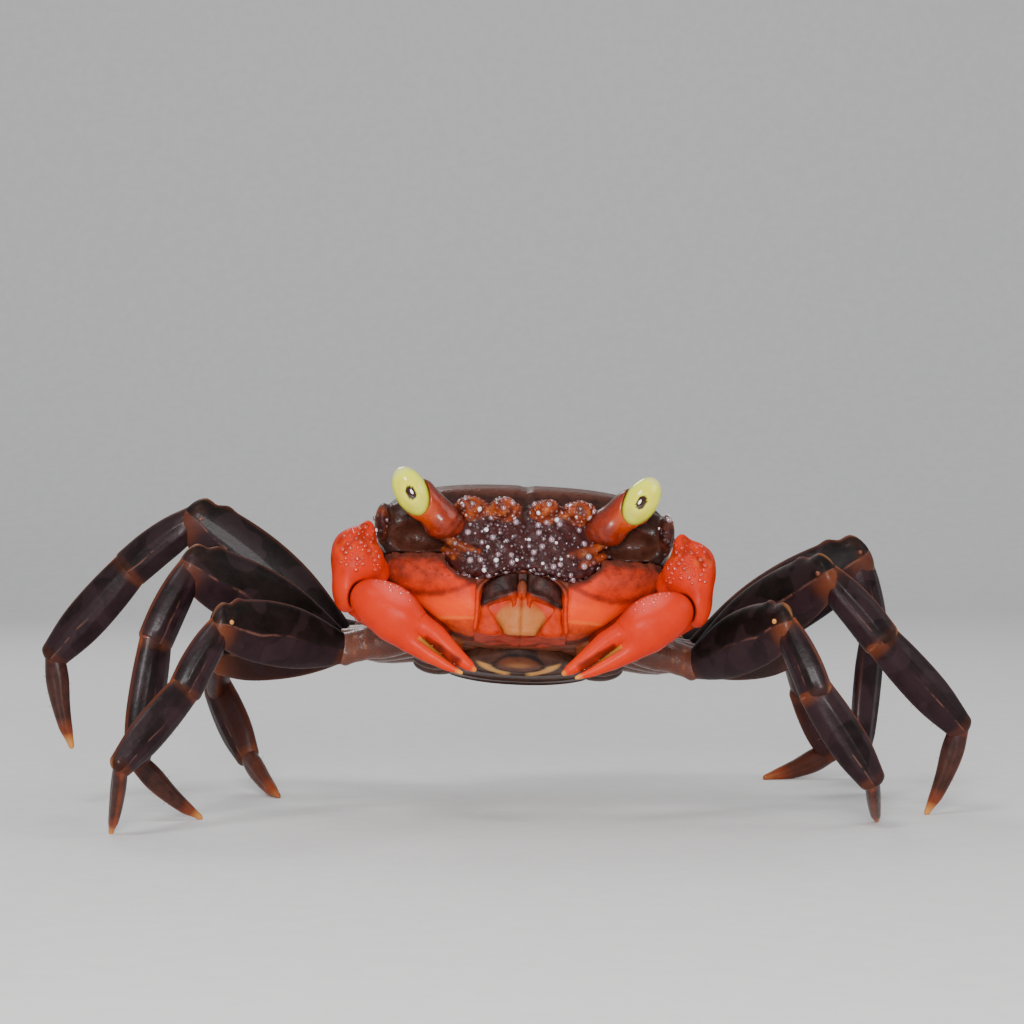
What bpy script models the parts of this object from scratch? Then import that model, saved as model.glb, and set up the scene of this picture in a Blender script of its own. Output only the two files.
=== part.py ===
"""Vampire land crab (Geosesarma), standing: a still, life-size model.

Frame: metres, +Z up, the floor is Z = 0. The crab faces -Y and its left side is +X.
Lengths below are in millimetres and angles in degrees. The trunk, eyes and claws are
laid out in a body frame (x to the crab's left, y to its tail, z up) that is pitched
nose up and rolled as it stands. Each leg is a chain of segments given by two angles:
swing, how far the segment points forward of straight out, and rise, how far upward.
"""

import math

import bmesh
import bpy
from mathutils import Matrix, Vector

MM = 0.001
GAP = 0.1  # clearance between neighbouring pieces
REACH = 12  # half width of a cutter that passes the trunk on every side
DEPTH = 9  # how far such a cutter goes forward, back, up and down
ROUND = 8  # points round a leg segment
CLAW_ROUND = 10
LIMB_SQUARENESS = 2.3
SIDE_SIGN = {"right": -1, "left": 1}

# The stance of the trunk.
BODY_AT = (1.64, -1.16, 13.6)
NOSE_UP = 12
LEFT_SIDE_DOWN = 3

# Trunk sections from front to back: y, half width, top, widest level, bottom.
TRUNK = (
    (-7.0, 6.2, 3.3, 1.2, -3.5),
    (-6.5, 7.6, 4.1, 1.6, -4.1),
    (-5.4, 8.4, 4.8, 1.8, -4.4),
    (-3.0, 8.6, 5.2, 1.7, -4.6),
    (0.0, 8.6, 5.3, 1.5, -4.8),
    (3.0, 8.0, 4.6, 1.1, -4.7),
    (5.4, 6.7, 3.6, 0.5, -4.1),
    (6.9, 5.2, 2.4, 0.0, -3.1),
    (7.5, 3.9, 1.3, -0.4, -2.2),
)
TRUNK_TAPER = 0.24  # how much narrower the underside is than the widest level
TAPER_CURVE = 1.5  # how late that narrowing comes on the way down
TRUNK_SQUARENESS = 2.8
TRUNK_POINTS = 24

# The ventral margin of the carapace, seen from the side: y, z.
MARGIN = (
    (-DEPTH, 0.35),
    (-4.7, 0.35),
    (-4.1, -1.9),
    (DEPTH, -1.9),
    (DEPTH, -DEPTH),
    (-DEPTH, -DEPTH),
)
CHEEK_BACK = -4.1
MOUTH_HALF = 2.7

# The deflexed front: x, forward edge y, top z, bottom z, from the median notch outward.
FRONT = (
    (0.0, -7.45, 3.1, -0.55),
    (0.9, -7.75, 3.9, -0.85),
    (1.9, -7.75, 3.7, -0.95),
    (2.9, -7.65, 3.9, -0.8),
    (3.9, -7.3, 3.4, -0.3),
    (4.3, -6.9, 2.6, 0.4),
)
FRONT_DEPTH = 1.1
FRONT_LEAN = 0.45
FRONT_SQUARENESS = 3
FRONT_POINTS = 12

ORBIT_AT = (6.15, -7.1, 1.55)
ORBIT_RADII = (2.15, 1.7, 1.15)
TOOTH_AT = (8.25, -6.25, 2.2)
TOOTH_RADII = (0.42, 0.95, 0.95)

STALK_BASE = (4.6, -7.3, 2.2)
STALK_PROFILE = ((0.0, 0.8, 0.8, 0), (0.5, 0.95, 0.92, 0), (1.0, 1.02, 0.98, 0))
EYE_AT = (6.65, -8.35, 3.6)
EYE_RADII = (0.98, 1.05, 1.56)
EYE_TILT = 30

# Third maxillipeds, from the top of the mouth down: z, outer x, forward y.
MAXILLIPED = (
    (-1.35, 1.5, -7.15),
    (-1.8, 2.1, -7.35),
    (-2.9, 2.35, -7.4),
    (-3.8, 2.2, -7.2),
    (-4.35, 1.6, -6.7),
)
MAXILLIPED_DEPTH = 1.3
MAXILLIPED_INNER = 0.08
MAXILLIPED_SQUARENESS = 3.2
MAXILLIPED_POINTS = 10

# The abdomen under the trunk, from its root to its tip: y, z, half width.
ABDOMEN = (
    (7.65, -0.6, 3.3),
    (7.25, -2.9, 3.7),
    (6.0, -4.35, 4.0),
    (4.2, -4.95, 4.1),
    (2.2, -5.15, 4.0),
    (0.2, -5.15, 3.7),
    (-1.6, -5.0, 3.0),
    (-2.9, -4.8, 2.1),
    (-3.6, -4.6, 1.0),
)
ABDOMEN_HALF_DEPTH = 0.42
ABDOMEN_SQUARENESS = 2.6
ABDOMEN_POINTS = 12

# Walking legs, numbered 2 to 5 from the front: merus, carpus, propodus, dactylus lengths.
LEG_LENGTHS = {
    2: (8.8, 4.2, 5.8, 4.7),
    3: (10.5, 4.9, 7.1, 5.4),
    4: (11.9, 5.0, 7.1, 5.6),
    5: (10.2, 3.9, 5.1, 4.9),
}
LEG_GIRTH = {2: 0.95, 3: 1.02, 4: 1.1, 5: 1.06}
LEG_ROOT = {
    2: (6.1, -3.1, -3.7),
    3: (6.2, -0.6, -3.7),
    4: (6.0, 1.9, -3.5),
    5: (5.4, 4.2, -3.1),
}
LEG_HIP = {
    2: (10.4, -2.7, -4.9),
    3: (10.9, 0.1, -4.3),
    4: (10.8, 2.8, -3.7),
    5: (9.9, 5.4, -2.9),
}
# Swing and rise of the merus, carpus and propodus, then the swing of the dactylus and
# whether it points outward, is tucked inward, or hangs free at a rise of its own.
LEG_POSE = {
    ("right", 2): ((40, 12), (30, -59), (38, -44), 112, "tucked"),
    ("right", 3): ((25, 29), (33, -62), (40, -79), 36, "tucked"),
    ("right", 4): ((3, 41), (-1, -38), (-1, -48), -3, -100),
    ("right", 5): ((-23, -7), (-81, -37), (-42, -124), -59, "tucked"),
    ("left", 2): ((56, 18), (36, -64), (8, -58), 102, "tucked"),
    ("left", 3): ((39, 31), (9, -51), (-13, -47), 19, "tucked"),
    ("left", 4): ((0, 31.5), (-33, -78), (-60, -106), -74, "out"),
    ("left", 5): ((-39, -1), (-68, -48), (-38, -59), -16, "tucked"),
}
CAP_REACH = 0.95  # how far a limb's end cap stands out, in half thicknesses
CAP_ANGLE = math.radians(50)
FOOT_SINK = 0.1  # how far a round foot tip is sunk below the floor before it is cut flat
FLOOR_BLOCK = ((-60, -60, -10), (60, 60, 0))

# Limb profiles: fraction of the length, half height, half thickness, lift off the axis.
BASE_PROFILE = (
    (0.0, 1.15, 1.0, 0),
    (0.45, 1.2, 1.02, 0),
    (0.75, 1.0, 0.85, 0),
    (1.0, 1.05, 0.7, 0),
)
MERUS_PROFILE = (
    (0.0, 0.95, 0.6, 0),
    (0.12, 1.3, 0.68, 0),
    (0.38, 1.85, 0.75, 0.05),
    (0.62, 1.95, 0.74, 0.05),
    (0.85, 1.7, 0.72, 0),
    (1.0, 1.3, 0.7, 0),
)
CARPUS_PROFILE = (
    (0.0, 0.7, 0.5, 0),
    (0.25, 0.98, 0.66, 0),
    (0.65, 1.12, 0.7, 0.05),
    (1.0, 1.12, 0.66, 0),
)
PROPODUS_PROFILE = (
    (0.0, 1.05, 0.6, 0),
    (0.3, 1.18, 0.65, 0),
    (0.7, 1.14, 0.62, 0),
    (1.0, 0.82, 0.55, 0),
)
DACTYLUS_PROFILE = (
    (0.0, 0.55, 0.42, 0),
    (0.25, 0.66, 0.46, 0.1),
    (0.6, 0.5, 0.4, 0.18),
    (0.88, 0.34, 0.3, 0.1),
    (1.0, 0.27, 0.26, 0),
)

# Claws in the body frame: joints of the arm and wrist, and the line of the palm.
SHOULDER = (4.9, -5.0, -4.1)
ELBOW = (9.2, -7.7, -2.7)
WRIST_END = (9.4, -9.9, -0.2)
PALM_BASE = (9.75, -10.2, -2.4)
CLAW_TIP = (2.3, -11.0, -7.1)
PALM_SHARE = 0.5  # of the palm's line, where the movable finger starts
ARM_PROFILE = (
    (0.0, 0.9, 0.9, 0),
    (0.35, 1.2, 1.0, 0),
    (0.8, 1.35, 1.1, 0),
    (1.0, 1.15, 1.0, 0),
)
WRIST_PROFILE = (
    (0.0, 1.0, 1.1, 0),
    (0.4, 1.35, 1.5, 0),
    (0.8, 1.45, 1.6, 0),
    (1.0, 1.3, 1.45, 0),
)
PALM_PROFILE = (
    (0.0, 1.2, 0.9, 0.1),
    (0.12, 1.5, 1.1, 0.15),
    (0.3, 1.6, 1.2, 0.2),
    (0.45, 1.4, 1.1, 0.0),
    (0.55, 0.68, 0.7, -0.65),
    (0.7, 0.5, 0.52, -0.65),
    (0.87, 0.34, 0.36, -0.56),
    (1.0, 0.24, 0.25, -0.5),
)
FINGER_PROFILE = (
    (0.0, 0.6, 0.6, 0.68),
    (0.25, 0.64, 0.62, 0.64),
    (0.5, 0.58, 0.54, 0.42),
    (0.8, 0.42, 0.42, 0.16),
    (1.0, 0.3, 0.3, 0.04),
)

# Colour, roughness and metallic value of each sort of piece.
LOOKS = {
    "shell": ((0.035, 0.018, 0.016), 0.3),
    "cheek": ((0.75, 0.14, 0.03), 0.35),
    "mouth": ((0.5, 0.12, 0.05), 0.4),
    "belly": ((0.3, 0.13, 0.06), 0.35),
    "claw": ((0.72, 0.08, 0.025), 0.3),
    "leg": ((0.05, 0.035, 0.04), 0.25),
    "joint": ((0.16, 0.07, 0.045), 0.3),
    "toe": ((0.1, 0.045, 0.03), 0.3),
    "stalk": ((0.5, 0.1, 0.03), 0.35),
    "eye": ((0.68, 0.68, 0.2), 0.15),
}


def start_scene():
    """Empty the scene and return the collection of the crab and that of its cutters."""
    for item in list(bpy.context.scene.objects):
        bpy.data.objects.remove(item, do_unlink=True)
    made = []
    for name in ("land_crab", "cutters"):
        collection = bpy.data.collections.new(name)
        bpy.context.scene.collection.children.link(collection)
        made.append(collection)
    return made


CRAB, CUTTERS = start_scene()


def material(name, look):
    """A piece's own Principled material."""
    colour, roughness = LOOKS[look]
    made = bpy.data.materials.new(name)
    made.use_nodes = True
    shader = made.node_tree.nodes["Principled BSDF"]
    shader.inputs["Base Color"].default_value = (*colour, 1)
    shader.inputs["Roughness"].default_value = roughness
    shader.inputs["Metallic"].default_value = 0
    made.diffuse_color = (*colour, 1)
    return made


def piece(name, mesh, look=None, at=None):
    """A named object of the crab, or a cutter when it has no look."""
    thing = bpy.data.objects.new(name, mesh)
    if look:
        CRAB.objects.link(thing)
        thing.data.materials.append(material(name, look))
    else:
        CUTTERS.objects.link(thing)
        thing.hide_render = True
        thing.display_type = "WIRE"
    if at is not None:
        thing.matrix_world = at
    return thing


def boolean(thing, operation, other):
    modifier = thing.modifiers.new(f"{operation.lower()} {other.name}", "BOOLEAN")
    modifier.operation = operation
    modifier.solver = "EXACT"
    modifier.object = other


def finished_mesh(bm, name):
    bmesh.ops.recalc_face_normals(bm, faces=bm.faces)
    bmesh.ops.triangulate(bm, faces=bm.faces)
    mesh = bpy.data.meshes.new(name)
    bm.to_mesh(mesh)
    bm.free()
    return mesh


def loft(name, rings):
    """A closed skin over rings of equal point counts, given in millimetres."""
    bm = bmesh.new()
    loops = [[bm.verts.new(Vector(point) * MM) for point in ring] for ring in rings]
    for low, high in zip(loops, loops[1:]):
        for i, corner in enumerate(low):
            before = i - 1
            bm.faces.new((low[before], corner, high[i], high[before]))
    bm.faces.new(loops[0])
    bm.faces.new(loops[-1])
    return finished_mesh(bm, name)


def ellipsoid(name, radii, segments=12, rings=8):
    bm = bmesh.new()
    bmesh.ops.create_uvsphere(bm, u_segments=segments, v_segments=rings, radius=1)
    bmesh.ops.scale(bm, vec=Vector(radii) * MM, verts=bm.verts)
    return finished_mesh(bm, name)


def box(name, low, high):
    """A cutter between two opposite corners."""
    size = Vector(high) - Vector(low)
    middle = (Vector(high) + Vector(low)) / 2
    bm = bmesh.new()
    bmesh.ops.create_cube(bm, size=1)
    bmesh.ops.scale(bm, vec=size * MM, verts=bm.verts)
    bmesh.ops.translate(bm, vec=middle * MM, verts=bm.verts)
    return finished_mesh(bm, name)


def rounded(count, power):
    """Points round the unit superellipse, squarer as the power grows."""
    points = []
    for i in range(count):
        angle = math.tau * (i + 0.5) / count
        c, s = math.cos(angle), math.sin(angle)
        across = math.copysign(abs(c) ** (2 / power), c)
        upward = math.copysign(abs(s) ** (2 / power), s)
        points.append((across, upward))
    return points


def limb(name, length, profile, girth=1.0, grow=0.0, count=ROUND):
    """A limb segment along local +X: flattened sections with a domed cap at each end."""

    def section(x, height, thickness, lift):
        points = rounded(count, LIMB_SQUARENESS)
        return [(x, thickness * py, lift + height * pz) for py, pz in points]

    def dome(x, sign, height, thickness, lift):
        reach = CAP_REACH * thickness + grow
        out, in_by = reach * math.sin(CAP_ANGLE), math.cos(CAP_ANGLE)
        return section(x + sign * out, height * in_by, thickness * in_by, lift)

    rings = []
    for share, height, thickness, lift in profile:
        tall = height * girth + grow
        thick = thickness * girth + grow
        rings.append((share * length, tall, thick, lift))
    first, last = rings[0], rings[-1]
    skins = [section(*ring) for ring in rings]
    skins.insert(0, dome(first[0], -1, *first[1:]))
    skins.append(dome(last[0], 1, *last[1:]))
    return loft(name, skins)


def frame_along(origin, along, up_hint):
    """Axes at a point: X along the limb, Z as near to the hint as it can be."""
    x = Vector(along).normalized()
    y = Vector(up_hint).cross(x).normalized()
    z = x.cross(y)
    axes = Matrix((x, y, z)).transposed().to_4x4()
    return Matrix.Translation(Vector(origin) * MM) @ axes


def stance():
    """The body frame in the world."""
    pitch = Matrix.Rotation(math.radians(-NOSE_UP), 4, "X")
    roll = Matrix.Rotation(math.radians(LEFT_SIDE_DOWN), 4, "Y")
    return Matrix.Translation(Vector(BODY_AT) * MM) @ roll @ pitch


BODY = stance()


def on_side(place, side):
    return Vector((place[0] * SIDE_SIGN[side], place[1], place[2]))


def trunk_rings(grow=0.0):
    rings = []
    for y, half, top, level, bottom in TRUNK:
        ring = []
        for px, pz in rounded(TRUNK_POINTS, TRUNK_SQUARENESS):
            height = (top - level if pz > 0 else level - bottom) + grow
            narrow = 1 - TRUNK_TAPER * max(0, -pz) ** TAPER_CURVE
            ring.append((px * (half + grow) * narrow, y, level + pz * height))
        rings.append(ring)
    ends = ((0, -grow), (-1, grow))
    for index, shift in ends:
        rings[index] = [(x, y + shift, z) for x, y, z in rings[index]]
    return rings


def margin_cutter(name, grow=0.0):
    """All that lies below the ventral margin of the carapace."""
    rings = []
    for x in (-REACH, REACH):
        rings.append([(x, y, z + grow) for y, z in MARGIN])
    return loft(name, rings)


def front_plate(grow=0.0):
    """The deflexed front with its postfrontal lobes, made for both sides."""
    rings = []
    stations = [(-x, y, top, low) for x, y, top, low in reversed(FRONT[1:])] + list(FRONT)
    for x, y, top, low in stations:
        ring = []
        for py, pz in rounded(FRONT_POINTS, FRONT_SQUARENESS):
            z = (top + low) / 2 + pz * ((top - low) / 2 + grow)
            lean = FRONT_LEAN * (z - low) / (top - low)
            depth = FRONT_DEPTH / 2
            ring.append((x, y + depth + lean + py * (depth + grow), z))
        rings.append(ring)
    for index, shift in ((0, -grow), (-1, grow)):
        rings[index] = [(x + shift, y, z) for x, y, z in rings[index]]
    return rings


def build_trunk():
    """Carapace, cheeks, mouth frame, sternum and abdomen, cut from one trunk."""
    under = piece("under_margin", margin_cutter("under_margin"), at=BODY)
    carapace = piece("carapace", loft("carapace", trunk_rings()), "shell", BODY)
    plate = piece("front_plate", loft("front_plate", front_plate()), at=BODY)
    plate_room = piece("front_room", loft("front_room", front_plate(GAP)), at=BODY)
    margin_room = piece("margin_room", margin_cutter("margin_room", GAP), at=BODY)
    boolean(carapace, "DIFFERENCE", margin_room)
    boolean(carapace, "UNION", plate)
    for side in SIDE_SIGN:
        tooth = ellipsoid(f"tooth_{side}", TOOTH_RADII, 10, 6)
        place = BODY @ Matrix.Translation(on_side(TOOTH_AT, side) * MM)
        boolean(carapace, "UNION", piece(f"tooth_{side}", tooth, at=place))
        orbit = ellipsoid(f"orbit_{side}", ORBIT_RADII, 12, 6)
        place = BODY @ Matrix.Translation(on_side(ORBIT_AT, side) * MM)
        boolean(carapace, "DIFFERENCE", piece(f"orbit_{side}", orbit, at=place))

    half = GAP / 2
    before, behind = (-DEPTH, CHEEK_BACK - half), (CHEEK_BACK + half, DEPTH)
    blocks = (  # name, look, x range, y range
        ("cheek_right", "cheek", (-REACH, -MOUTH_HALF - half), before),
        ("cheek_left", "cheek", (MOUTH_HALF + half, REACH), before),
        ("mouth_frame", "mouth", (half - MOUTH_HALF, MOUTH_HALF - half), before),
        ("sternum", "belly", (-REACH, REACH), behind),
    )
    made = {"carapace": carapace}
    for name, look, across, along in blocks:
        block = piece(name, loft(name, trunk_rings()), look, BODY)
        corners = zip(across, along, (-DEPTH, DEPTH))
        cutter = piece(f"{name}_block", box(f"{name}_block", *corners), at=BODY)
        boolean(block, "INTERSECT", under)
        boolean(block, "INTERSECT", cutter)
        boolean(block, "DIFFERENCE", plate_room)
        made[name] = block

    trunk_room = piece("trunk_room", loft("trunk_room", trunk_rings(GAP)), at=BODY)
    rings = []
    for i, (y, z, half_width) in enumerate(ABDOMEN):
        before, after = ABDOMEN[max(i - 1, 0)], ABDOMEN[min(i + 1, len(ABDOMEN) - 1)]
        along = Vector((0, after[0] - before[0], after[1] - before[1])).normalized()
        normal = Vector((1, 0, 0)).cross(along)
        ring = []
        for px, pn in rounded(ABDOMEN_POINTS, ABDOMEN_SQUARENESS):
            ring.append(Vector((px * half_width, y, z)) + normal * pn * ABDOMEN_HALF_DEPTH)
        rings.append(ring)
    abdomen = piece("abdomen", loft("abdomen", rings), "belly", BODY)
    boolean(abdomen, "DIFFERENCE", trunk_room)
    return made, trunk_room


def maxilliped(name, side, grow=0.0):
    sign = SIDE_SIGN[side]
    rings = []
    last = len(MAXILLIPED) - 1
    for i, (z, outer, y) in enumerate(MAXILLIPED):
        shift = {0: grow, last: -grow}.get(i, 0)
        inner = MAXILLIPED_INNER - grow
        half = (outer + grow - inner) / 2
        depth = MAXILLIPED_DEPTH / 2
        ring = []
        for px, py in rounded(MAXILLIPED_POINTS, MAXILLIPED_SQUARENESS):
            x = sign * (inner + half + px * half)
            ring.append((x, y + depth + py * (depth + grow), z + shift))
        rings.append(ring)
    return loft(name, rings)


def build_mouth(parts):
    for side in SIDE_SIGN:
        name = f"maxilliped_{side}"
        piece(name, maxilliped(name, side), "mouth", BODY)
        room = piece(f"{name}_room", maxilliped(f"{name}_room", side, GAP), at=BODY)
        boolean(parts["mouth_frame"], "DIFFERENCE", room)


def build_eyes(parts):
    """Eyestalks that leave the orbits upward and outward, each with its eye."""
    for side, sign in SIDE_SIGN.items():
        base, eye_at = on_side(STALK_BASE, side), on_side(EYE_AT, side)
        along = eye_at - base
        frame = BODY @ frame_along(base, along, (0, 0, 1))
        length = along.length
        tilt = Matrix.Rotation(math.radians(EYE_TILT) * sign, 4, "Y")
        place = BODY @ Matrix.Translation(eye_at * MM) @ tilt
        piece(f"eye_{side}", ellipsoid(f"eye_{side}", EYE_RADII), "eye", place)
        room = ellipsoid(f"eye_{side}_room", [r + GAP for r in EYE_RADII])
        room = piece(f"eye_{side}_room", room, at=place)
        name = f"eyestalk_{side}"
        stalk = piece(name, limb(name, length, STALK_PROFILE), "stalk", frame)
        boolean(stalk, "DIFFERENCE", room)
        groove = limb(f"{name}_room", length, STALK_PROFILE, grow=GAP)
        groove = piece(f"{name}_room", groove, at=frame)
        for name in ("carapace", f"cheek_{side}"):
            boolean(parts[name], "DIFFERENCE", groove)


def leg_frame(origin, sign, swing, rise):
    """Axes of a leg segment: X along it, Y across the leg's plane, Z up in that plane."""
    a, r = math.radians(swing), math.radians(rise)
    out = Vector((sign * math.cos(a), -math.sin(a), 0))
    up = Vector((0, 0, 1))
    x = out * math.cos(r) + up * math.sin(r)
    z = up * math.cos(r) - out * math.sin(r)
    y = z.cross(x)
    axes = Matrix((x, y, z)).transposed().to_4x4()
    return Matrix.Translation(origin) @ axes


def dactylus_rise(knuckle_height, length, girth, way):
    """The rise that brings the foot down to the floor, unless the leg is lifted."""
    if way not in ("out", "tucked"):
        return way
    tip_radius = DACTYLUS_PROFILE[-1][1] * girth
    drop = knuckle_height - (tip_radius - FOOT_SINK)
    fall = math.degrees(math.asin(min(1, drop / length)))
    return -fall if way == "out" else fall - 180


def build_leg(side, number, trunk_room, floor):
    """Base (coxa to ischium), merus, carpus, propodus and dactylus of one leg."""
    sign = SIDE_SIGN[side]
    girth = LEG_GIRTH[number]
    prefix = f"leg_{side}_{number}"
    root, hip = (on_side(place[number], side) for place in (LEG_ROOT, LEG_HIP))
    frame = BODY @ frame_along(root, hip - root, (0, 0, 1))
    name = f"{prefix}_base"
    length = (hip - root).length
    base = piece(name, limb(name, length, BASE_PROFILE, girth), "joint", frame)
    boolean(base, "DIFFERENCE", trunk_room)
    room = piece(f"{name}_room", limb(f"{name}_room", length, BASE_PROFILE, girth, GAP), at=frame)

    merus, carpus, propodus, swing, way = LEG_POSE[side, number]
    chain = (
        ("merus", MERUS_PROFILE, "leg", merus),
        ("carpus", CARPUS_PROFILE, "leg", carpus),
        ("propodus", PROPODUS_PROFILE, "leg", propodus),
        ("dactylus", DACTYLUS_PROFILE, "toe", (swing, way)),
    )
    joint = BODY @ (hip * MM)
    for (title, profile, look, pose), length in zip(chain, LEG_LENGTHS[number]):
        swing, rise = pose
        if title == "dactylus":
            rise = dactylus_rise(joint.z / MM, length, girth, rise)
        frame = leg_frame(joint, sign, swing, rise)
        name = f"{prefix}_{title}"
        segment = piece(name, limb(name, length, profile, girth), look, frame)
        boolean(segment, "DIFFERENCE", room)
        if title == "dactylus" and way in ("out", "tucked"):
            boolean(segment, "DIFFERENCE", floor)
        room = limb(f"{name}_room", length, profile, girth, GAP)
        room = piece(f"{name}_room", room, at=frame)
        joint = frame @ Vector((length * MM, 0, 0))


def build_claw(side, trunk_room):
    """Arm, wrist, palm with its fixed finger, and the movable finger above it."""
    spots = (SHOULDER, ELBOW, WRIST_END, PALM_BASE, CLAW_TIP)
    shoulder, elbow, wrist_end, palm_base, tip = (on_side(spot, side) for spot in spots)
    palm_line = tip - palm_base
    finger_at = palm_base + palm_line * PALM_SHARE
    runs = (
        ("arm", shoulder, elbow - shoulder, ARM_PROFILE),
        ("wrist", elbow, wrist_end - elbow, WRIST_PROFILE),
        ("palm", palm_base, palm_line, PALM_PROFILE),
        ("finger", finger_at, palm_line * (1 - PALM_SHARE), FINGER_PROFILE),
    )
    room = trunk_room
    for title, start, line, profile in runs:
        name = f"claw_{side}_{title}"
        frame = BODY @ frame_along(start, line, (0, 0, 1))
        segment = piece(name, limb(name, line.length, profile, count=CLAW_ROUND), "claw", frame)
        boolean(segment, "DIFFERENCE", room)
        room = limb(f"{name}_room", line.length, profile, grow=GAP, count=CLAW_ROUND)
        room = piece(f"{name}_room", room, at=frame)


def build():
    parts, trunk_room = build_trunk()
    build_mouth(parts)
    build_eyes(parts)
    floor = piece("floor", box("floor", *FLOOR_BLOCK))
    for side in SIDE_SIGN:
        build_claw(side, trunk_room)
        for number in LEG_LENGTHS:
            build_leg(side, number, trunk_room, floor)


build()
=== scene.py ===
"""Vampire land crab (Geosesarma), standing: the looks of a still, life-size model.

The crab faces -Y, its left side is +X and the floor is Z = 0. Shapes are worked out in
millimetres and stored in metres. The trunk, eyes and claws are laid out in the body
frame (x to the crab's left, y to its tail, z up); each leg is a chain of segments.
"""

import math

import bpy
import numpy as np
from mathutils import Matrix, Vector


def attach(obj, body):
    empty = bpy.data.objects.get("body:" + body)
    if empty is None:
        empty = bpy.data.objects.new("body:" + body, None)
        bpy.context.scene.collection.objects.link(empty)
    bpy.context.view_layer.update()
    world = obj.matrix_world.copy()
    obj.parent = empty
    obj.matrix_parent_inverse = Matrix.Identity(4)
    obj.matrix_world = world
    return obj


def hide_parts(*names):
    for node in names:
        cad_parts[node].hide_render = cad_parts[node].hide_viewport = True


bl_info = {
    "name": "Land crab looks",
    "version": (1, 0, 0),
    "blender": (4, 5, 0),
    "location": "3D View > Sidebar > Crab",
    "description": "Builds the visible shell, eyes, claws and legs of a standing land crab",
    "category": "Object",
}

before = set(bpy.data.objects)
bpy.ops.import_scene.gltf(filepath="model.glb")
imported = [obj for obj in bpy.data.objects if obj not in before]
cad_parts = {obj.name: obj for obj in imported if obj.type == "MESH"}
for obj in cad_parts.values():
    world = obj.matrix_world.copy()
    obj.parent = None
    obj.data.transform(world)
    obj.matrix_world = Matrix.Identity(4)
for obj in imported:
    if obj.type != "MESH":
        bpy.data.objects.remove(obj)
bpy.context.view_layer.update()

MM = 0.001
SIDE_SIGN = {"right": -1, "left": 1}

# ---------------------------------------------------------------- measures of the frame
BODY_AT = (1.64, -1.16, 13.6)
NOSE_UP, LEFT_SIDE_DOWN = 12, 3  # degrees

# Trunk sections from front to back: y, half width, top, widest level, bottom.
TRUNK = (
    (-7.0, 6.2, 3.3, 1.2, -3.5),
    (-6.5, 7.6, 4.1, 1.6, -4.1),
    (-5.4, 8.4, 4.8, 1.8, -4.4),
    (-3.0, 8.6, 5.2, 1.7, -4.6),
    (0.0, 8.6, 5.3, 1.5, -4.8),
    (3.0, 8.0, 4.6, 1.1, -4.7),
    (5.4, 6.7, 3.6, 0.5, -4.1),
    (6.9, 5.2, 2.4, 0.0, -3.1),
    (7.5, 3.9, 1.3, -0.4, -2.2),
)
TRUNK_TAPER = 0.24
TRUNK_SQUARENESS = 2.8
TRUNK_MIDDLE, TRUNK_HALF_LENGTH = 0.25, 7.25
MARGIN = ((-4.7, 0.35), (-4.1, -1.9))  # where the shell's lower edge steps down: y, z
CHEEK_BACK = -4.1
MOUTH_HALF = 2.7
SEAM = 0.03  # half the gap between two plates

# The deflexed front from the median notch outward: x, forward edge y, lower edge z.
FRONT = (
    (0.0, -7.6, -0.5),
    (0.9, -7.8, -0.65),
    (1.9, -7.85, -0.95),
    (2.9, -7.75, -1.0),
    (3.8, -7.5, -0.75),
    (4.7, -7.0, 0.0),
)
# Postfrontal lobes: place and radii.
LOBES = (
    ((1.25, -7.4, 3.0), (0.8, 0.85, 0.62)),
    ((3.15, -7.2, 3.0), (0.85, 0.85, 0.64)),
)
ORBIT = ((6.2, -7.3, 1.3), (1.8, 1.6, 1.0))  # place and radii, as the next three
TOOTH = ((8.25, -6.35, 2.1), (0.5, 1.0, 1.15))
CHEEK_SWELLING = ((5.2, -6.3, -0.8), (3.0, 1.05, 1.3))
EPISTOME = ((0, -7.15, -1.65), (0.3, 0.3, 0.55))
# Oblique ridges under the eyestalk: x, y, z and radius.
BROW_LOW = ((4.6, -7.0, 0.5, 0.15), (3.9, -7.35, 0.1, 0.25), (3.1, -7.55, -0.35, 0.2))
BROW_HIGH = ((4.9, -7.1, 1.35, 0.2), (4.0, -7.4, 0.8, 0.28), (2.7, -7.6, 0.3, 0.22))

STALK_BASE = (4.6, -7.3, 2.2)
EYE_AT = (6.65, -8.35, 3.6)
EYE_RADII = (0.98, 1.05, 1.56)
EYE_TILT = 30  # degrees outward

ABDOMEN = (  # y, z, half width from the root under the tail to the tip
    (7.65, -0.6, 3.3),
    (7.25, -2.9, 3.7),
    (6.0, -4.35, 4.0),
    (4.2, -4.95, 4.1),
    (2.2, -5.15, 4.0),
    (0.2, -5.15, 3.7),
    (-1.6, -5.0, 3.0),
    (-2.9, -4.8, 2.1),
    (-3.6, -4.6, 1.0),
)
ABDOMEN_HALF_DEPTH = 0.42
ABDOMEN_SEATING = 2.4  # how much deeper it reaches into the trunk than it shows
TELSON_AT = (0.0, -2.5)
TELSON_RADII = (1.45, 1.02)
STERNAL_GROOVES = (-2.9, -1.0, 1.0, 2.9)
COXAE_AT = (-3.1, -1.0, 1.1, 3.1)
COXA_RADII = (1.6, 1.05, 0.85)

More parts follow.
